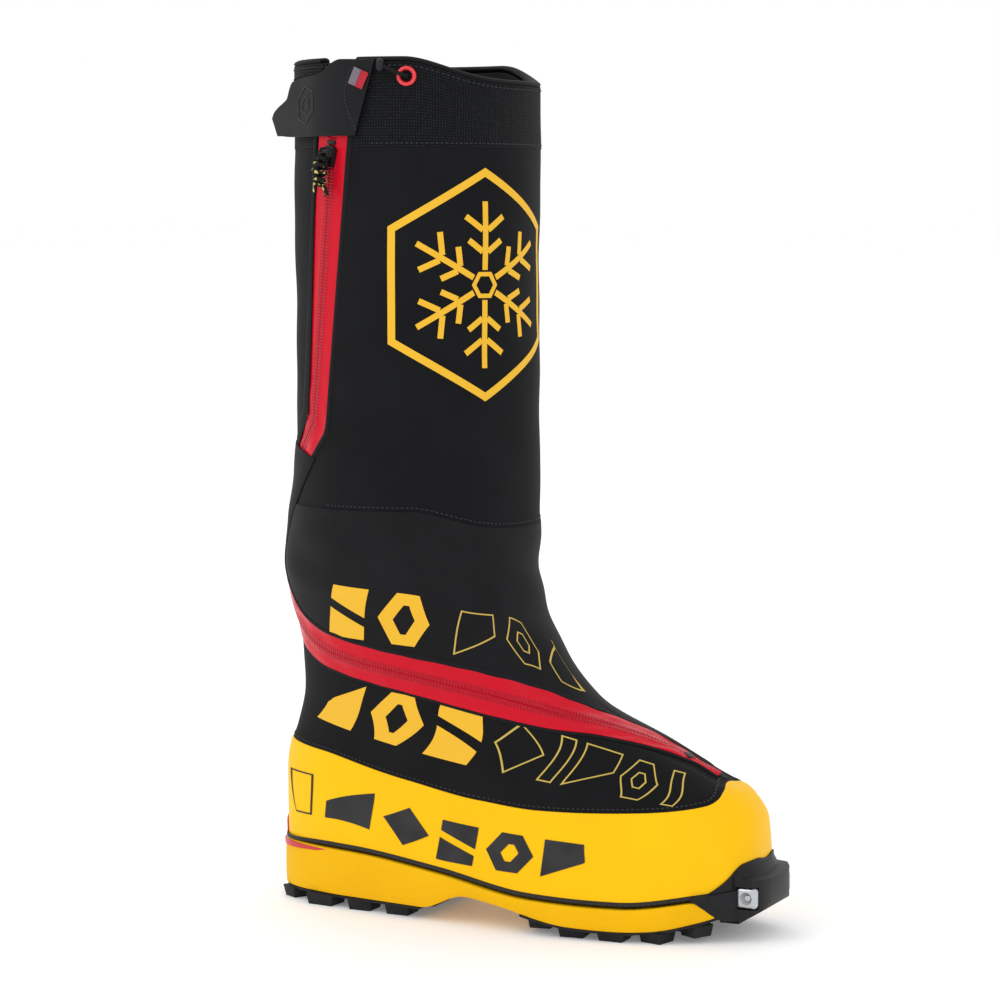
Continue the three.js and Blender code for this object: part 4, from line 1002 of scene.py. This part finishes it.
def slab(name, section_of, foot, top, out, r, columns, bulge=0.0):
    """A plate with edges rounded to r, whose outline is moved out. foot and top are heights over x."""
    flat = [(1, 0), (0.7, 0), (0.35, 0), (0.12, 0)]
    under = [(*spot, 0, 0) for spot in flat] + [(0, r, 0, 0), (0, 0.3 * r, 0, 0.3 * r), (0, 0, 0, r)]
    over = [(*spot[:2], 1, -spot[3]) for spot in reversed(under)]
    side = [(0, -0.7 * bulge, 0.25, 0), (0, -bulge, 0.5, 0), (0, -0.7 * bulge, 0.75, 0)]
    stations = np.array(under + side + over)
    count = len(stations) - 1

    def place(s, t):
        angle = 360 * s - 180
        inward, inset, share, rise = stations[np.rint(t * count).astype(int)].T
        inset = np.where(inward > 0, r, inset)
        edge = on_form(section_of, angle, SLAB_LEVEL, out - inset)
        edge[:, 1] += (toe_bend(edge[:, 0]) - edge[:, 1]) * inward
        low, high = foot(edge[:, 0]), top(edge[:, 0])
        edge[:, 2] = low + (high - low) * share + rise
        return edge

    piece = sheet(name, columns, count, place, (360, 120), closed=True, smooth_angle=40)
    edit(piece, (bpy.ops.mesh.dissolve_degenerate, {"threshold": 1e-5}), FILL_HOLES, NORMALS_OUT)
    return piece


# %% Stitches
THREAD_MM, STITCH_SHARE = 0.45, 0.62


def stitch_row(name, length, pitch, place, body="boot"):
    """A row of stitches. place(u, v, w) takes mm along the row, across it and out of the surface."""
    start_clean()
    bpy.ops.mesh.primitive_uv_sphere_add(segments=6, ring_count=5, radius=1)
    row = named(name)
    set_points(row, points_of(row)[:, [2, 0, 1]] * (pitch * STITCH_SHARE / 2, THREAD_MM, THREAD_MM * 0.8))
    apply(row, "ARRAY", count=max(2, int(length / pitch)), use_relative_offset=False,
          use_constant_offset=True, constant_offset_displace=(pitch, 0, 0))
    flat = points_of(row)
    set_points(row, metres(place(flat[:, 0], flat[:, 1], flat[:, 2])))
    edit(row, NORMALS_OUT)
    only(row)
    bpy.ops.object.shade_smooth()
    return dress(row, stitching, body)


def girth_stitches(name, foot_level, height_of, out, pitch, span=(-180, 180)):
    """Stitches along a line of the boot, given as a height over the angle."""
    angle_at, girth = turn_of(foot_level)
    fine = np.linspace(0, 1, 2001)
    angles = angle_at(fine)
    keep = (angles >= span[0]) & (angles <= span[1])
    start, length = fine[keep][0] * girth, (fine[keep][-1] - fine[keep][0]) * girth

    def place(u, v, w):
        angle = angle_at((start + u) / girth)
        return skin(angle, height_of(angle) + v, out + w)

    return stitch_row(name, length, pitch, place)


# %% Rounded copies of hard parts
def soften(node, name, material, body="boot", width=0.4, segments=2, angle=32):
    """A copy of one of the frame's nodes with its edges rounded, to stand for it."""
    start_clean()
    piece = bpy.data.objects.new(name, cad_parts[node].data.copy())
    bpy.context.collection.objects.link(piece)
    piece.data.name = name
    edit(piece, weld(1e-6), (bpy.ops.mesh.dissolve_limited, {"angle_limit": math.radians(3)}))
    apply(piece, "BEVEL", width=width / 1000, segments=segments, limit_method="ANGLE",
          angle_limit=math.radians(angle))
    return dress(smooth(piece, 35), material, body, [node])


def paint(node, material):
    """Gives one of the frame's own nodes a better finish."""
    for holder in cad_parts[node].material_slots:
        holder.material = material


# %% [markdown]
# ## The sole
# From the ground up: rubber lugs in a heel and a forefoot unit, a moulded foam midsole that stands a
# little proud, a red crampon ledge round the heel, and a welt strip stitched all the way round.

# %% Lugs
soften("outsole_heel", "heel_lugs", lug_rubber, width=0.6)
soften("outsole_forefoot", "forefoot_lugs", lug_rubber, width=0.6)

# %% Midsole
MIDSOLE_OUT, LIGHT_GAP = 2.3, 0.35
midsole = slab("foam_midsole", outside_rows, midsole_foot, lambda x: welt_foot(x) - LIGHT_GAP, MIDSOLE_OUT,
               1.1, 420, bulge=0.35)
dress(midsole, moulded_foam, stands_for=["midsole"])

# %% Welt and its stitches
WELT_OUT, WELT_INSIDE = 2.0, 6.0
welt = ring("stitched_welt", outside_rows, welt_line, lambda a: welt_line(a) + welt_tall(a),
            -WELT_OUT, WELT_INSIDE, 420, 40)
dress(welt, welt_rubber, stands_for=["welt"])
girth_stitches("welt_stitches", 40, lambda a: welt_line(a) + welt_tall(a) * 0.5, WELT_OUT + 0.05, 3.4)

# %% Crampon ledge at the heel
LEDGE_SPAN, LEDGE_OUT, LEDGE_INSIDE, LEDGE_TALL, LEDGE_LIP = 66, 3.4, 6, 5.2, 0.8


def heel_ledge_spot(s, t):
    angle = wrap(180 + LEDGE_SPAN * (2 * s - 1))
    thinner = smoothstep(180 - np.abs(angle), 20, LEDGE_SPAN)
    depth, share, bulge, _ = ring_section(t)
    low = welt_line(angle) - LEDGE_TALL + 2.6 * thinner
    high = welt_line(angle) - 0.4
    out = LEDGE_OUT - 1.0 * thinner
    height = low + LEDGE_LIP + (high - low - 2 * LEDGE_LIP) * share + LEDGE_LIP * bulge
    return on_form(outside_rows, angle, height, out - (out + LEDGE_INSIDE) * depth)


ledge = sheet("crampon_ledge", 120, 40, heel_ledge_spot, (160, 12), closed=True)
edit(ledge, FILL_HOLES, NORMALS_OUT)
dress(ledge, red_nylon, stands_for=["heel_ledge"])

TAB_TALL, TAB_SPAN = 13.0, 13


def heel_tab_spot(s, t):
    angle = wrap(180 + TAB_SPAN * (2 * s - 1))
    tall = TAB_TALL * (1 - 0.35 * (2 * s - 1) ** 2)
    return skin(angle, welt_line(angle) + 1 + tall * t, RAND_OUT + 1.1)


heel_tab = sheet("heel_tab", 30, 14, heel_tab_spot, (18, TAB_TALL), wall=1.6, edge=0.5)
dress(heel_tab, red_nylon)

# %% [markdown]
# The toe ends in a thick rubber bumper with a ledge for a crampon's wire bail. Thin wings of the same
# rubber run up the rand. A steel bar crosses it, with a socket in each end for the pins of a binding.

# %% Bumper, wings and cheeks
BUMPER_FACE, BUMPER_LEDGE, LEDGE_SETBACK = 319, 40.0, 2.6
bumper = soften("toe_bumper", "bumper_block", bumper_rubber, width=2.2, segments=4,
                angle=40)
spots = points_of(bumper) * 1000 - SHIFT
ahead = np.maximum(spots[:, 0] - BUMPER_FACE, 0)
spots[:, 0] -= 0.08 * ahead
spots[:, 2] -= 0.16 * ahead * smoothstep(spots[:, 2], BUMPER_LEDGE - 10, BUMPER_LEDGE)
over_ledge = smoothstep(spots[:, 2], BUMPER_LEDGE, BUMPER_LEDGE + 1)
spots[:, 0] -= LEDGE_SETBACK * over_ledge
spots[:, 1] += (FITTING_SPOT[1] - spots[:, 1]) * 0.1 * over_ledge
set_points(bumper, metres(spots))
wing_curve = smooth_curve([[0, 47], [6, 48.5], [17, 47], [20, 45], [26, 38], [33, 31.5], [36, 29.5]])


def wing_spot(s, t):
    angle = -36 + 72 * s
    low = welt_line(angle) - 1
    return skin(angle, low + (wing_curve(np.abs(angle))[..., 0] - low) * t, RAND_OUT + 1.2)


wings = sheet("bumper_wings", 110, 20, wing_spot, (110, 18), wall=1.4, edge=0.5)
dress(wings, bumper_rubber)

cheek_foot = smooth_curve([[0, 16], [25, 13.5], [29, 14.5], [33, 18], [37, 22.5], [41, 26]])


def cheek_spot(s, t):
    angle = -41 + 82 * s
    low = cheek_foot(np.abs(angle))[..., 0]
    high = welt_line(angle) + 3.2
    return skin(angle, low + (high - low) * t, 3.3)


cheeks = sheet("bumper_cheeks", 120, 16, cheek_spot, (110, 14), wall=2.4, edge=0.5)
dress(cheeks, bumper_rubber)

# %% The steel fitting: a bar with a rounded head and a conical socket at each end
HEAD_MM, HEAD_LONG, HEAD_ROUND, SPAN_MM, FITTING_LEVEL = 13.0, 6.0, 2.6, 61.0, 27.4
SOCKET_DEEP, SOCKET_MOUTH, SOCKET_END = 4.0, 3.8, 1.1
BAR_RADIUS, BAR_DROP = 4.0, 2.6


def fitting_head(side):
    y = FITTING_SPOT[1] + side * (SPAN_MM - HEAD_LONG) / 2
    start_clean()
    bpy.ops.mesh.primitive_cube_add(size=1, location=metres((FITTING_SPOT[0], y, FITTING_LEVEL)))
    head = bpy.context.object
    head.scale = (HEAD_MM / 1000, HEAD_LONG / 1000, HEAD_MM / 1000)
    bpy.ops.object.transform_apply(location=True, rotation=True, scale=True)
    apply(head, "BEVEL", width=HEAD_ROUND / 1000, segments=5)
    end = FITTING_SPOT[1] + side * (SPAN_MM / 2 - SOCKET_DEEP / 2 + 0.01)
    start_clean()
    bpy.ops.mesh.primitive_cone_add(
        vertices=40, radius1=SOCKET_MOUTH / 1000, radius2=SOCKET_END / 1000, depth=SOCKET_DEEP / 1000,
        location=metres((FITTING_SPOT[0], end, FITTING_LEVEL)), rotation=(side * math.pi / 2, 0, 0))
    cone = bpy.context.object
    apply(head, "BOOLEAN", operation="DIFFERENCE", object=cone)
    only(cone)
    bpy.ops.object.delete()
    return head


heads = [fitting_head(side) for side in (-1, 1)]
start_clean()
bpy.ops.mesh.primitive_cylinder_add(
    vertices=24, radius=BAR_RADIUS / 1000, depth=(SPAN_MM - HEAD_LONG) / 1000,
    location=metres((*FITTING_SPOT, FITTING_LEVEL - BAR_DROP)), rotation=(math.pi / 2, 0, 0))
for head in heads:
    head.select_set(True)
bpy.ops.object.join()
fitting = named("binding_fitting")
bpy.ops.object.transform_apply(location=True, rotation=True, scale=True)
smooth(fitting, 30)
dress(fitting, blasted_steel, stands_for=["toe_fitting"])
paint("lasting_board", pressed_board)
print("sole made")

# %% [markdown]
# ## Inside the gaiter
# A fleece lining is quilted to the gaiter's cloth. Inside it stands the inner boot: a stiff laminate
# shell with a padded tongue, laced by a dial, and in it a removable felt liner with a footbed. The pads
# swell between their seams, which we write as a wave over angle and height.

# %% Lining, liner and tongue
def quilt(angle, height, per_turn, per_height, depth):
    """Swelling between seams that run up and round a pad."""
    up = np.abs(np.sin(np.radians(angle) * per_turn / 2))
    across = np.abs(np.sin(math.pi * height / per_height))
    return depth * np.minimum(up, across) ** 0.5


LINING_DEPTH, LINING_INSIDE, LINING_DROP = 2.85, 6.6, 18
lining = ring("fleece_lining", outside_rows, lambda a: rand_top(a) + 5.5, lambda a: rim(a) - LINING_DROP,
              LINING_DEPTH, LINING_INSIDE, 240, 120, puff=lambda a, h: quilt(a, h, 8, 62, 1.4))
dress(lining, lining_fleece, stands_for=["gaiter_lining"])

LINER_DEPTH, LINER_INSIDE, LINER_TOP = 3.2, 8.6, 324
liner = ring("felt_liner", inside_rows, lambda a: welt_line(a) + 9, level(LINER_TOP),
             LINER_DEPTH, LINER_INSIDE, 220, 120, puff=lambda a, h: quilt(a, h, 10, 46, 1.8))
dress(liner, liner_felt, stands_for=["liner"])

tongue = ring("padded_tongue", inside_rows, level(120.6), level(306), 0.0, 2.3, 60, 100, turn=(-27, 27))
dress(tongue, binding_tape, stands_for=["shell_tongue"])

footbed = slab("felt_footbed", inside_rows, lambda x: welt_foot(x) + 12.4, lambda x: welt_foot(x) + 16.4,
               -10.0, 1.2, 240)
dress(footbed, footbed_felt, stands_for=["footbed"])

cuff_tape = ring("liner_cuff_tape_band", inside_rows, level(308), level(318), 2.0, 2.8, 200, 30)
dress(cuff_tape, red_webbing, stands_for=["liner_cuff_tape"])

# %% Loop, shell and lacing
LOOP_X = (middle_of("liner_pull_loop") - SHIFT)[0]
LOOP_WIDTH = 6
half_loop = [(-7, LINER_TOP), (-8.4, 330), (-7.6, 337), (-4.6, 343)]
loop_line = through(half_loop + [(0, 345.4)] + [(-y, z) for y, z in reversed(half_loop)], 6)


def loop_spot(s, t):
    k = s * (len(loop_line) - 1)
    y, z = (np.interp(k, np.arange(len(loop_line)), loop_line[:, i]) for i in (0, 1))
    return np.stack([LOOP_X + LOOP_WIDTH * (t - 0.5), y, z], axis=-1)


pull_loop = sheet("liner_webbing_loop", 48, 8, loop_spot, (50, LOOP_WIDTH), wall=1.3, edge=0.3)
edit(pull_loop, NORMALS_OUT)
dress(pull_loop, red_webbing, stands_for=["liner_pull_loop"])

soften("inner_shell", "laminate_shell", carbon_laminate, width=0.5)
soften("heel_counter", "heel_stiffener", moulded_nylon, width=0.4)
for side in ("outer", "inner"):
    soften(f"lace_guides_{side}", f"cable_guides_{side}", moulded_nylon, width=0.5)
    paint(f"lace_cable_{side}", grey_cable)
soften("dial_base", "dial_seat", moulded_nylon, width=0.6, segments=3)
soften("dial_hub", "dial_spindle", painted_zinc, body="dial_hub", width=0.4)
soften("lacing_dial", "ribbed_dial", moulded_nylon, body="dial", width=0.35)
print("inner boot made")

# %% [markdown]
# ## The top edge
# A folded binding closes the collar all the way round, except over the zip. Below it a facing makes a
# channel for the drawcord, which comes out of a red enamelled eyelet and ends in a small cord lock.

# %% Binding and facing
OPENING_AT, OPENING_HALF = float(zip_angle[-1]), 10.4
round_turn = (OPENING_AT + OPENING_HALF, OPENING_AT + 360 - OPENING_HALF)
rim_binding = ring("rim_binding", outside_rows, lambda a: rim(a) - BINDING, rim, -0.5, 6.6, 260, 48,
                   turn=round_turn)
dress(rim_binding, binding_tape, stands_for=["collar_binding"])
facing = ring("hem_facing_band", outside_rows, lambda a: rim(a) - LINING_DROP + 0.4,
              lambda a: rim(a) - BINDING - 0.4, 5.4, 6.7, 220, 40, turn=round_turn)
dress(facing, binding_tape, stands_for=["hem_facing"])
girth_stitches("rim_stitches", 500, lambda a: rim(a) - BINDING - 1.6, 0.5, 3.2)

# %% Eyelet
EYELET_ANGLE, HEM, EYELET_RADIUS, EYELET_ROUND = -68.0, 12.0, 4.7, 1.3
eyelet_spot = np.array([EYELET_ANGLE]), np.array([RIM_HEIGHT - HEM])
eyelet_way = Vector(outward(outside_rows, *eyelet_spot)[0])
start_clean()
bpy.ops.mesh.primitive_torus_add(
    major_radius=EYELET_RADIUS / 1000, minor_radius=EYELET_ROUND / 1000, major_segments=48, minor_segments=16,
    location=metres(on_form(outside_rows, *eyelet_spot, 0.9)[0]),
    rotation=eyelet_way.to_track_quat("Z", "Y").to_euler())
eyelet = named("enamel_eyelet")
bpy.ops.object.transform_apply(location=True, rotation=True, scale=True)
bpy.ops.object.shade_smooth()
dress(eyelet, red_enamel, stands_for=["drawcord_eyelet"])

# %% Drawcord and cord lock
CORD_MM = 2.4


def hem_spot(ahead, drop, out):
    """A spot at an angle ahead of the eyelet and a drop under the rim."""
    angle = wrap(np.array([EYELET_ANGLE + ahead], float))
    return on_form(outside_rows, angle, rim(angle) - drop, out)[0]


def tube(name, points, diameter, per_span=6):
    """A round tube along a smooth line, with closed ends."""
    line = metres(through(points, per_span))
    start_clean()
    curve = bpy.data.curves.new(name, "CURVE")
    curve.dimensions = "3D"
    curve.bevel_depth = diameter / 2000
    curve.bevel_resolution = 2
    curve.use_fill_caps = True
    spline = curve.splines.new("POLY")
    spline.points.add(len(line) - 1)
    for point, spot in zip(spline.points, line):
        point.co = (*spot, 1)
    piece = bpy.data.objects.new(name, curve)
    bpy.context.collection.objects.link(piece)
    only(piece)
    bpy.ops.object.convert(target="MESH")
    piece = bpy.context.object
    piece.data.name = name
    edit(piece, weld(1e-7), NORMALS_OUT)
    return smooth(piece)


free_end = [(-10, HEM - 5.6, 3.4), (-6.5, HEM - 3.6, 4.6), (-3, HEM - 1.4, 4.8), (0, HEM, 3.0),
            (0, HEM, -0.5), (2.4, HEM, -4.0)]
in_hem = [(ahead, HEM, -4.0) for ahead in np.linspace(6, 304, 60)]
drawcord = tube("drawcord_line", [hem_spot(*spot) for spot in free_end + in_hem], CORD_MM, per_span=3)
dress(drawcord, braided_cord, stands_for=["drawcord"])
soften("cord_end", "cord_lock", moulded_nylon, width=0.4)

# %% [markdown]
# ## Slider, puller and pull cord
# The metal slider rides on the coil and carries a hinged puller. A length of flecked accessory cord is
# looped through the puller and wound into a fat knot, so that a gloved hand can find it.

# %% Slider, puller and stops
soften("zip_slider", "slider_casting", painted_zinc, body="zip_slider", width=0.45,
       segments=3)
soften("zip_puller", "puller_casting", painted_zinc, body="puller", width=0.4, segments=3)
soften("zip_top_stop", "top_stop", painted_zinc, width=0.4)
soften("zip_bottom_stop", "foot_stop", painted_zinc, width=0.3)

# %% Pull cord
KNOT_RISE, PULL_CORD_MM = 9.0, 2.7          # the knot sits up over the puller's plate
knot_middle = middle_of("pull_cord") - SHIFT + np.array([0, 0, KNOT_RISE])
knot_out = outward(outside_rows, np.array([OPENING_AT - 7.0]), np.array([450.0]))[0]
knot_side = np.cross([0, 0, 1], knot_out)


def cord_spot(across, up, out):
    return knot_middle + knot_side * across + knot_out * out + np.array([0, 0, up])


turns = [2 * math.pi * step / 9 for step in range(34)]
wound = [(4.3 * math.sin(turn), 8.2 - 0.48 * step, 1.6 + 2.3 * math.cos(turn))
         for step, turn in enumerate(turns)]
knot_end = [(3.0, -9.6, 0.8), (4.4, -12.4, 0.6), (5.0, -15.0, 0.4)]
other_end = [(0.5, 7, 0.5), (-0.6, 11, 0.6), (-2.6, -6, 2.2), (-4.4, -9.5, 1.2), (-5.2, -13.2, 0.6)]
knot = tube("pull_cord_knot", [cord_spot(*spot) for spot in wound + knot_end], PULL_CORD_MM, per_span=4)
tail = tube("pull_cord_tail", [cord_spot(*spot) for spot in other_end], PULL_CORD_MM)
dress(knot, flecked_cord, "puller", ["pull_cord"])
dress(tail, flecked_cord, "puller")
print("trim made")

# %% [markdown]
# ## The closure strap
# A stiff rubber-coated strap is sewn beside the zip, crosses over its top end and stands off with a free,
# stepped tip that is pulled to open it. Hook pile behind it holds it shut. A hexagon is pressed into its
# face, drawn as a thin ring in a lighter grey that is a painted highlight of its pressed edges, and a small
# folded label is caught in its root seam.

# %% Strap
STRAP_ROOT, STRAP_LEAVE, STRAP_FREE, STRAP_WALL, STRAP_FOOT = -84.0, -120.0, 43.0, 2.6, 479.0
STRAP_RADIUS = SHAFT_RADIUS + 1.0
strap_arc = math.radians(STRAP_ROOT - STRAP_LEAVE) * STRAP_RADIUS
STRAP_LENGTH = strap_arc + STRAP_FREE
strap_top = smooth_curve([[0, 524], [20, 524.5], [24, 523.6], [36, 516.6], [66, 512.4], [69.5, 509],
                          [73, 502.5], [77, 500.2], [83, 497.6], [89, 494], [STRAP_LENGTH, 491]])


def strap_spot(along, height, out):
    onto = np.minimum(along, strap_arc)
    beyond = np.maximum(along - strap_arc, 0)
    angle = math.radians(STRAP_ROOT) - onto / STRAP_RADIUS
    radius = STRAP_RADIUS + out
    leave = math.radians(STRAP_LEAVE)
    return np.stack([SHAFT_AXIS + radius * np.cos(angle) + beyond * math.sin(leave),
                     radius * np.sin(angle) - beyond * math.cos(leave), height + 0 * along], axis=-1)


def strap_place(back_share, t):
    """The grid runs from the tip to the root, so that its outer face points out."""
    s = 1 - back_share
    lean = (1 - smoothstep(s, 0, 0.2)) * (10 * (1 - t) - 3 * t)
    slant = -6.5 * smoothstep(s, 0.75, 1.0) * (1 - t)
    along = s * STRAP_LENGTH + lean + slant
    low = STRAP_FOOT + 0.9 * smoothstep(s, 0.7, 1)
    return strap_spot(along, low + (strap_top(s * STRAP_LENGTH)[..., 0] - low) * t, STRAP_WALL - 0.2)


strap = sheet("rubber_closure_strap", 150, 60, strap_place, (STRAP_LENGTH, 45), wall=STRAP_WALL - 0.4,
              edge=0.7)
dress(strap, strap_rubber, "strap", ["closure_strap"])

# %% Pressed hexagon, coloured lighter as a painted highlight, and stitches on the strap
PRESS_AT, PRESS_HEIGHT = 51.0, 498.0
press_outline = turned(six_corners(9.2, 12.4), -22)
press_core = [(0.45 * x, 0.45 * y) for x, y in press_outline]
# The hexagon is the strap's own black rubber. Its lighter grey stitching finish is a painted highlight that
# stands for light on the pressed edges.
pressed = lay_patches("strap_pressed_mark_painted_highlight", ring_of(press_outline, 0.8) + ring_of(press_core, 0.7), 1.2)
flat = points_of(pressed)
set_points(pressed, metres(strap_spot(PRESS_AT - flat[:, 0], PRESS_HEIGHT + flat[:, 1], STRAP_WALL + 0.1)))
apply(pressed, "SOLIDIFY", thickness=0.0005, offset=-1, use_even_offset=False)
edit(pressed, NORMALS_OUT)
dress(pressed, stitching, "strap")


def strap_seam(u, v, w):
    share = u / 46
    along = 8.5 + 8.0 * np.sin(math.pi * share * 0.9) ** 1.2 + v
    return strap_spot(along, 480.5 + share * 42, STRAP_WALL - 0.1 + w)


stitch_row("strap_stitches", 45, 2.4, strap_seam, "strap")

# %% Hook pile and label
hooks = sheet("strap_hook_pile", 40, 30,
              lambda s, t: on_form(outside_rows, -148 + 26 * s, 483 + 32 * t, np.full_like(s, 0.8)),
              (34, 32), wall=1.0, edge=0.3)
dress(hooks, hook_pile, stands_for=["hook_patch"])

LABEL_WIDE, LABEL_TALL, LABEL_AT, LABEL_HEIGHT, LABEL_LEAN = 4.94, 10.5, 7.2, 513, math.radians(-24)


def label_half(name, offset, ink, stands_for=()):
    def place(s, t):
        across, up = LABEL_WIDE * (s - 0.5) + offset, LABEL_TALL * (t - 0.5)
        c, sn = math.cos(LABEL_LEAN), math.sin(LABEL_LEAN)
        return strap_spot(LABEL_AT - (c * across - sn * up), LABEL_HEIGHT + sn * across + c * up,
                          STRAP_WALL + 0.85 + 0.156 * (s - 0.5))

    half = sheet(name, 12, 12, place, (5, LABEL_TALL), wall=0.5, edge=0.12)
    return dress(half, ink, "strap", stands_for)


label_half("label_grey_half", -2.4, grey_label, ["strap_tag"])
label_half("label_red_half", 2.6, red_webbing)
print("strap made")

# %% [markdown]
# Where the zip swings behind the ankle, a flap of the ankle patch covers it, so it seems to dive under
# the cloth and come out again lower down.

# %% Flap over the ankle of the zip
FLAP_LOW, FLAP_HIGH, FLAP_HALF = 228, 287, 15.5
LOW_MARK, HIGH_MARK = 212, 306
numbers = np.arange(len(zip_height)) / (len(zip_height) - 1)
rising = (zip_height >= LOW_MARK - 6) & (zip_height <= HIGH_MARK + 6) & (numbers < STRAIGHT_FROM + 0.02)
mark_shares = [float(np.interp(mark, zip_height[rising], numbers[rising])) for mark in (LOW_MARK, HIGH_MARK)]
flap_low, flap_high = (float(np.interp(h, [LOW_MARK, HIGH_MARK], mark_shares)) for h in (FLAP_LOW, FLAP_HIGH))


def flap_spot(s, t):
    side = 2 * t - 1
    share = flap_low + (flap_high - flap_low) * s + 0.012 * side * smoothstep(s, 0.5, 1)
    lift = (0.5 + 1.0 * smoothstep(s, 0, 0.35)) * (1 - side ** 4) - 0.1
    return beside_zip(share, FLAP_HALF * side, lift)


flap = sheet("zip_ankle_flap", 50, 30, flap_spot, (70, 2 * FLAP_HALF), wall=0.9, edge=0.3)
dress(flap, laminate_cloth)

# %% Storm flap along the back edge of the straight run
STORM_BEHIND, STORM_COVER = 5.5, 6.8


def storm_spot(s, t):
    share = STRAIGHT_FROM - 0.045 + (1.0 - STRAIGHT_FROM) * s
    cover = STORM_COVER * (1 - smoothstep(s, 0.0, 0.95)) - 0.8
    reach = -TAPE_HALF - STORM_BEHIND + (STORM_BEHIND + cover) * t
    return beside_zip(share, reach, 0.85 - 1.2 * (1 - t) ** 3)


storm_flap = sheet("zip_storm_flap", 90, 12, storm_spot, (175, 12), wall=0.6, edge=0.2)
dress(storm_flap, stretch_cloth)

# %% Seams of the gaiter
girth_stitches("rand_seam_stitches", 90, lambda a: rand_top(a) + 2.2, 0.1, 3.0)
girth_stitches("shaft_seam_stitches", 250, lambda a: shaft_foot(a) + 2.4, 0.1, 3.0, span=(-108, 180))
girth_stitches("collar_seam_stitches", 472, level(COLLAR_SEAM + 2.5), 0.4, 3.0, span=(-84, 180))
print("seams made")

# %% [markdown]
# ## The studio
# A pale floor that runs up to a pale sky, one large soft key light from the front left, a weaker fill
# from the right and a strip behind that draws the dark shaft's edge.

# %% Floor and lights
WHITE = linear("#FFFFFF")
floor_paint = finish("matt studio floor", "#F4F4F4", 0.9, grain=(3.0, 0.05, 0.1), Emission_Color=WHITE,
                     Emission_Strength=0.14)
start_clean()
bpy.ops.mesh.primitive_plane_add(size=60, location=(0, 0, 0))
floor = bpy.context.object
floor.name = "studio_floor"
floor.data.materials.append(floor_paint)

world = bpy.data.worlds.new("pale studio")
bpy.context.scene.world = world
world.use_nodes = True
sky = world.node_tree.nodes["Background"]
sky.inputs["Color"].default_value, sky.inputs["Strength"].default_value = WHITE, 1.0
bpy.context.scene.view_settings.view_transform = "Standard"


def softbox(name, place, aim, size, power):
    way = Vector(aim) - Vector(place)
    bpy.ops.object.light_add(type="AREA", location=place, rotation=way.to_track_quat("-Z", "Y").to_euler())
    lamp = bpy.context.object
    lamp.name = name
    lamp.data.size, lamp.data.energy = size, power


softbox("key_light", (-1.4, -2.0, 2.2), (0, 0, 0.25), 1.6, 16)
softbox("fill_light", (2.2, -1.6, 1.4), (0, 0, 0.25), 1.8, 5)
softbox("edge_light", (-1.2, 1.8, 1.6), (0, 0, 0.3), 1.2, 6)
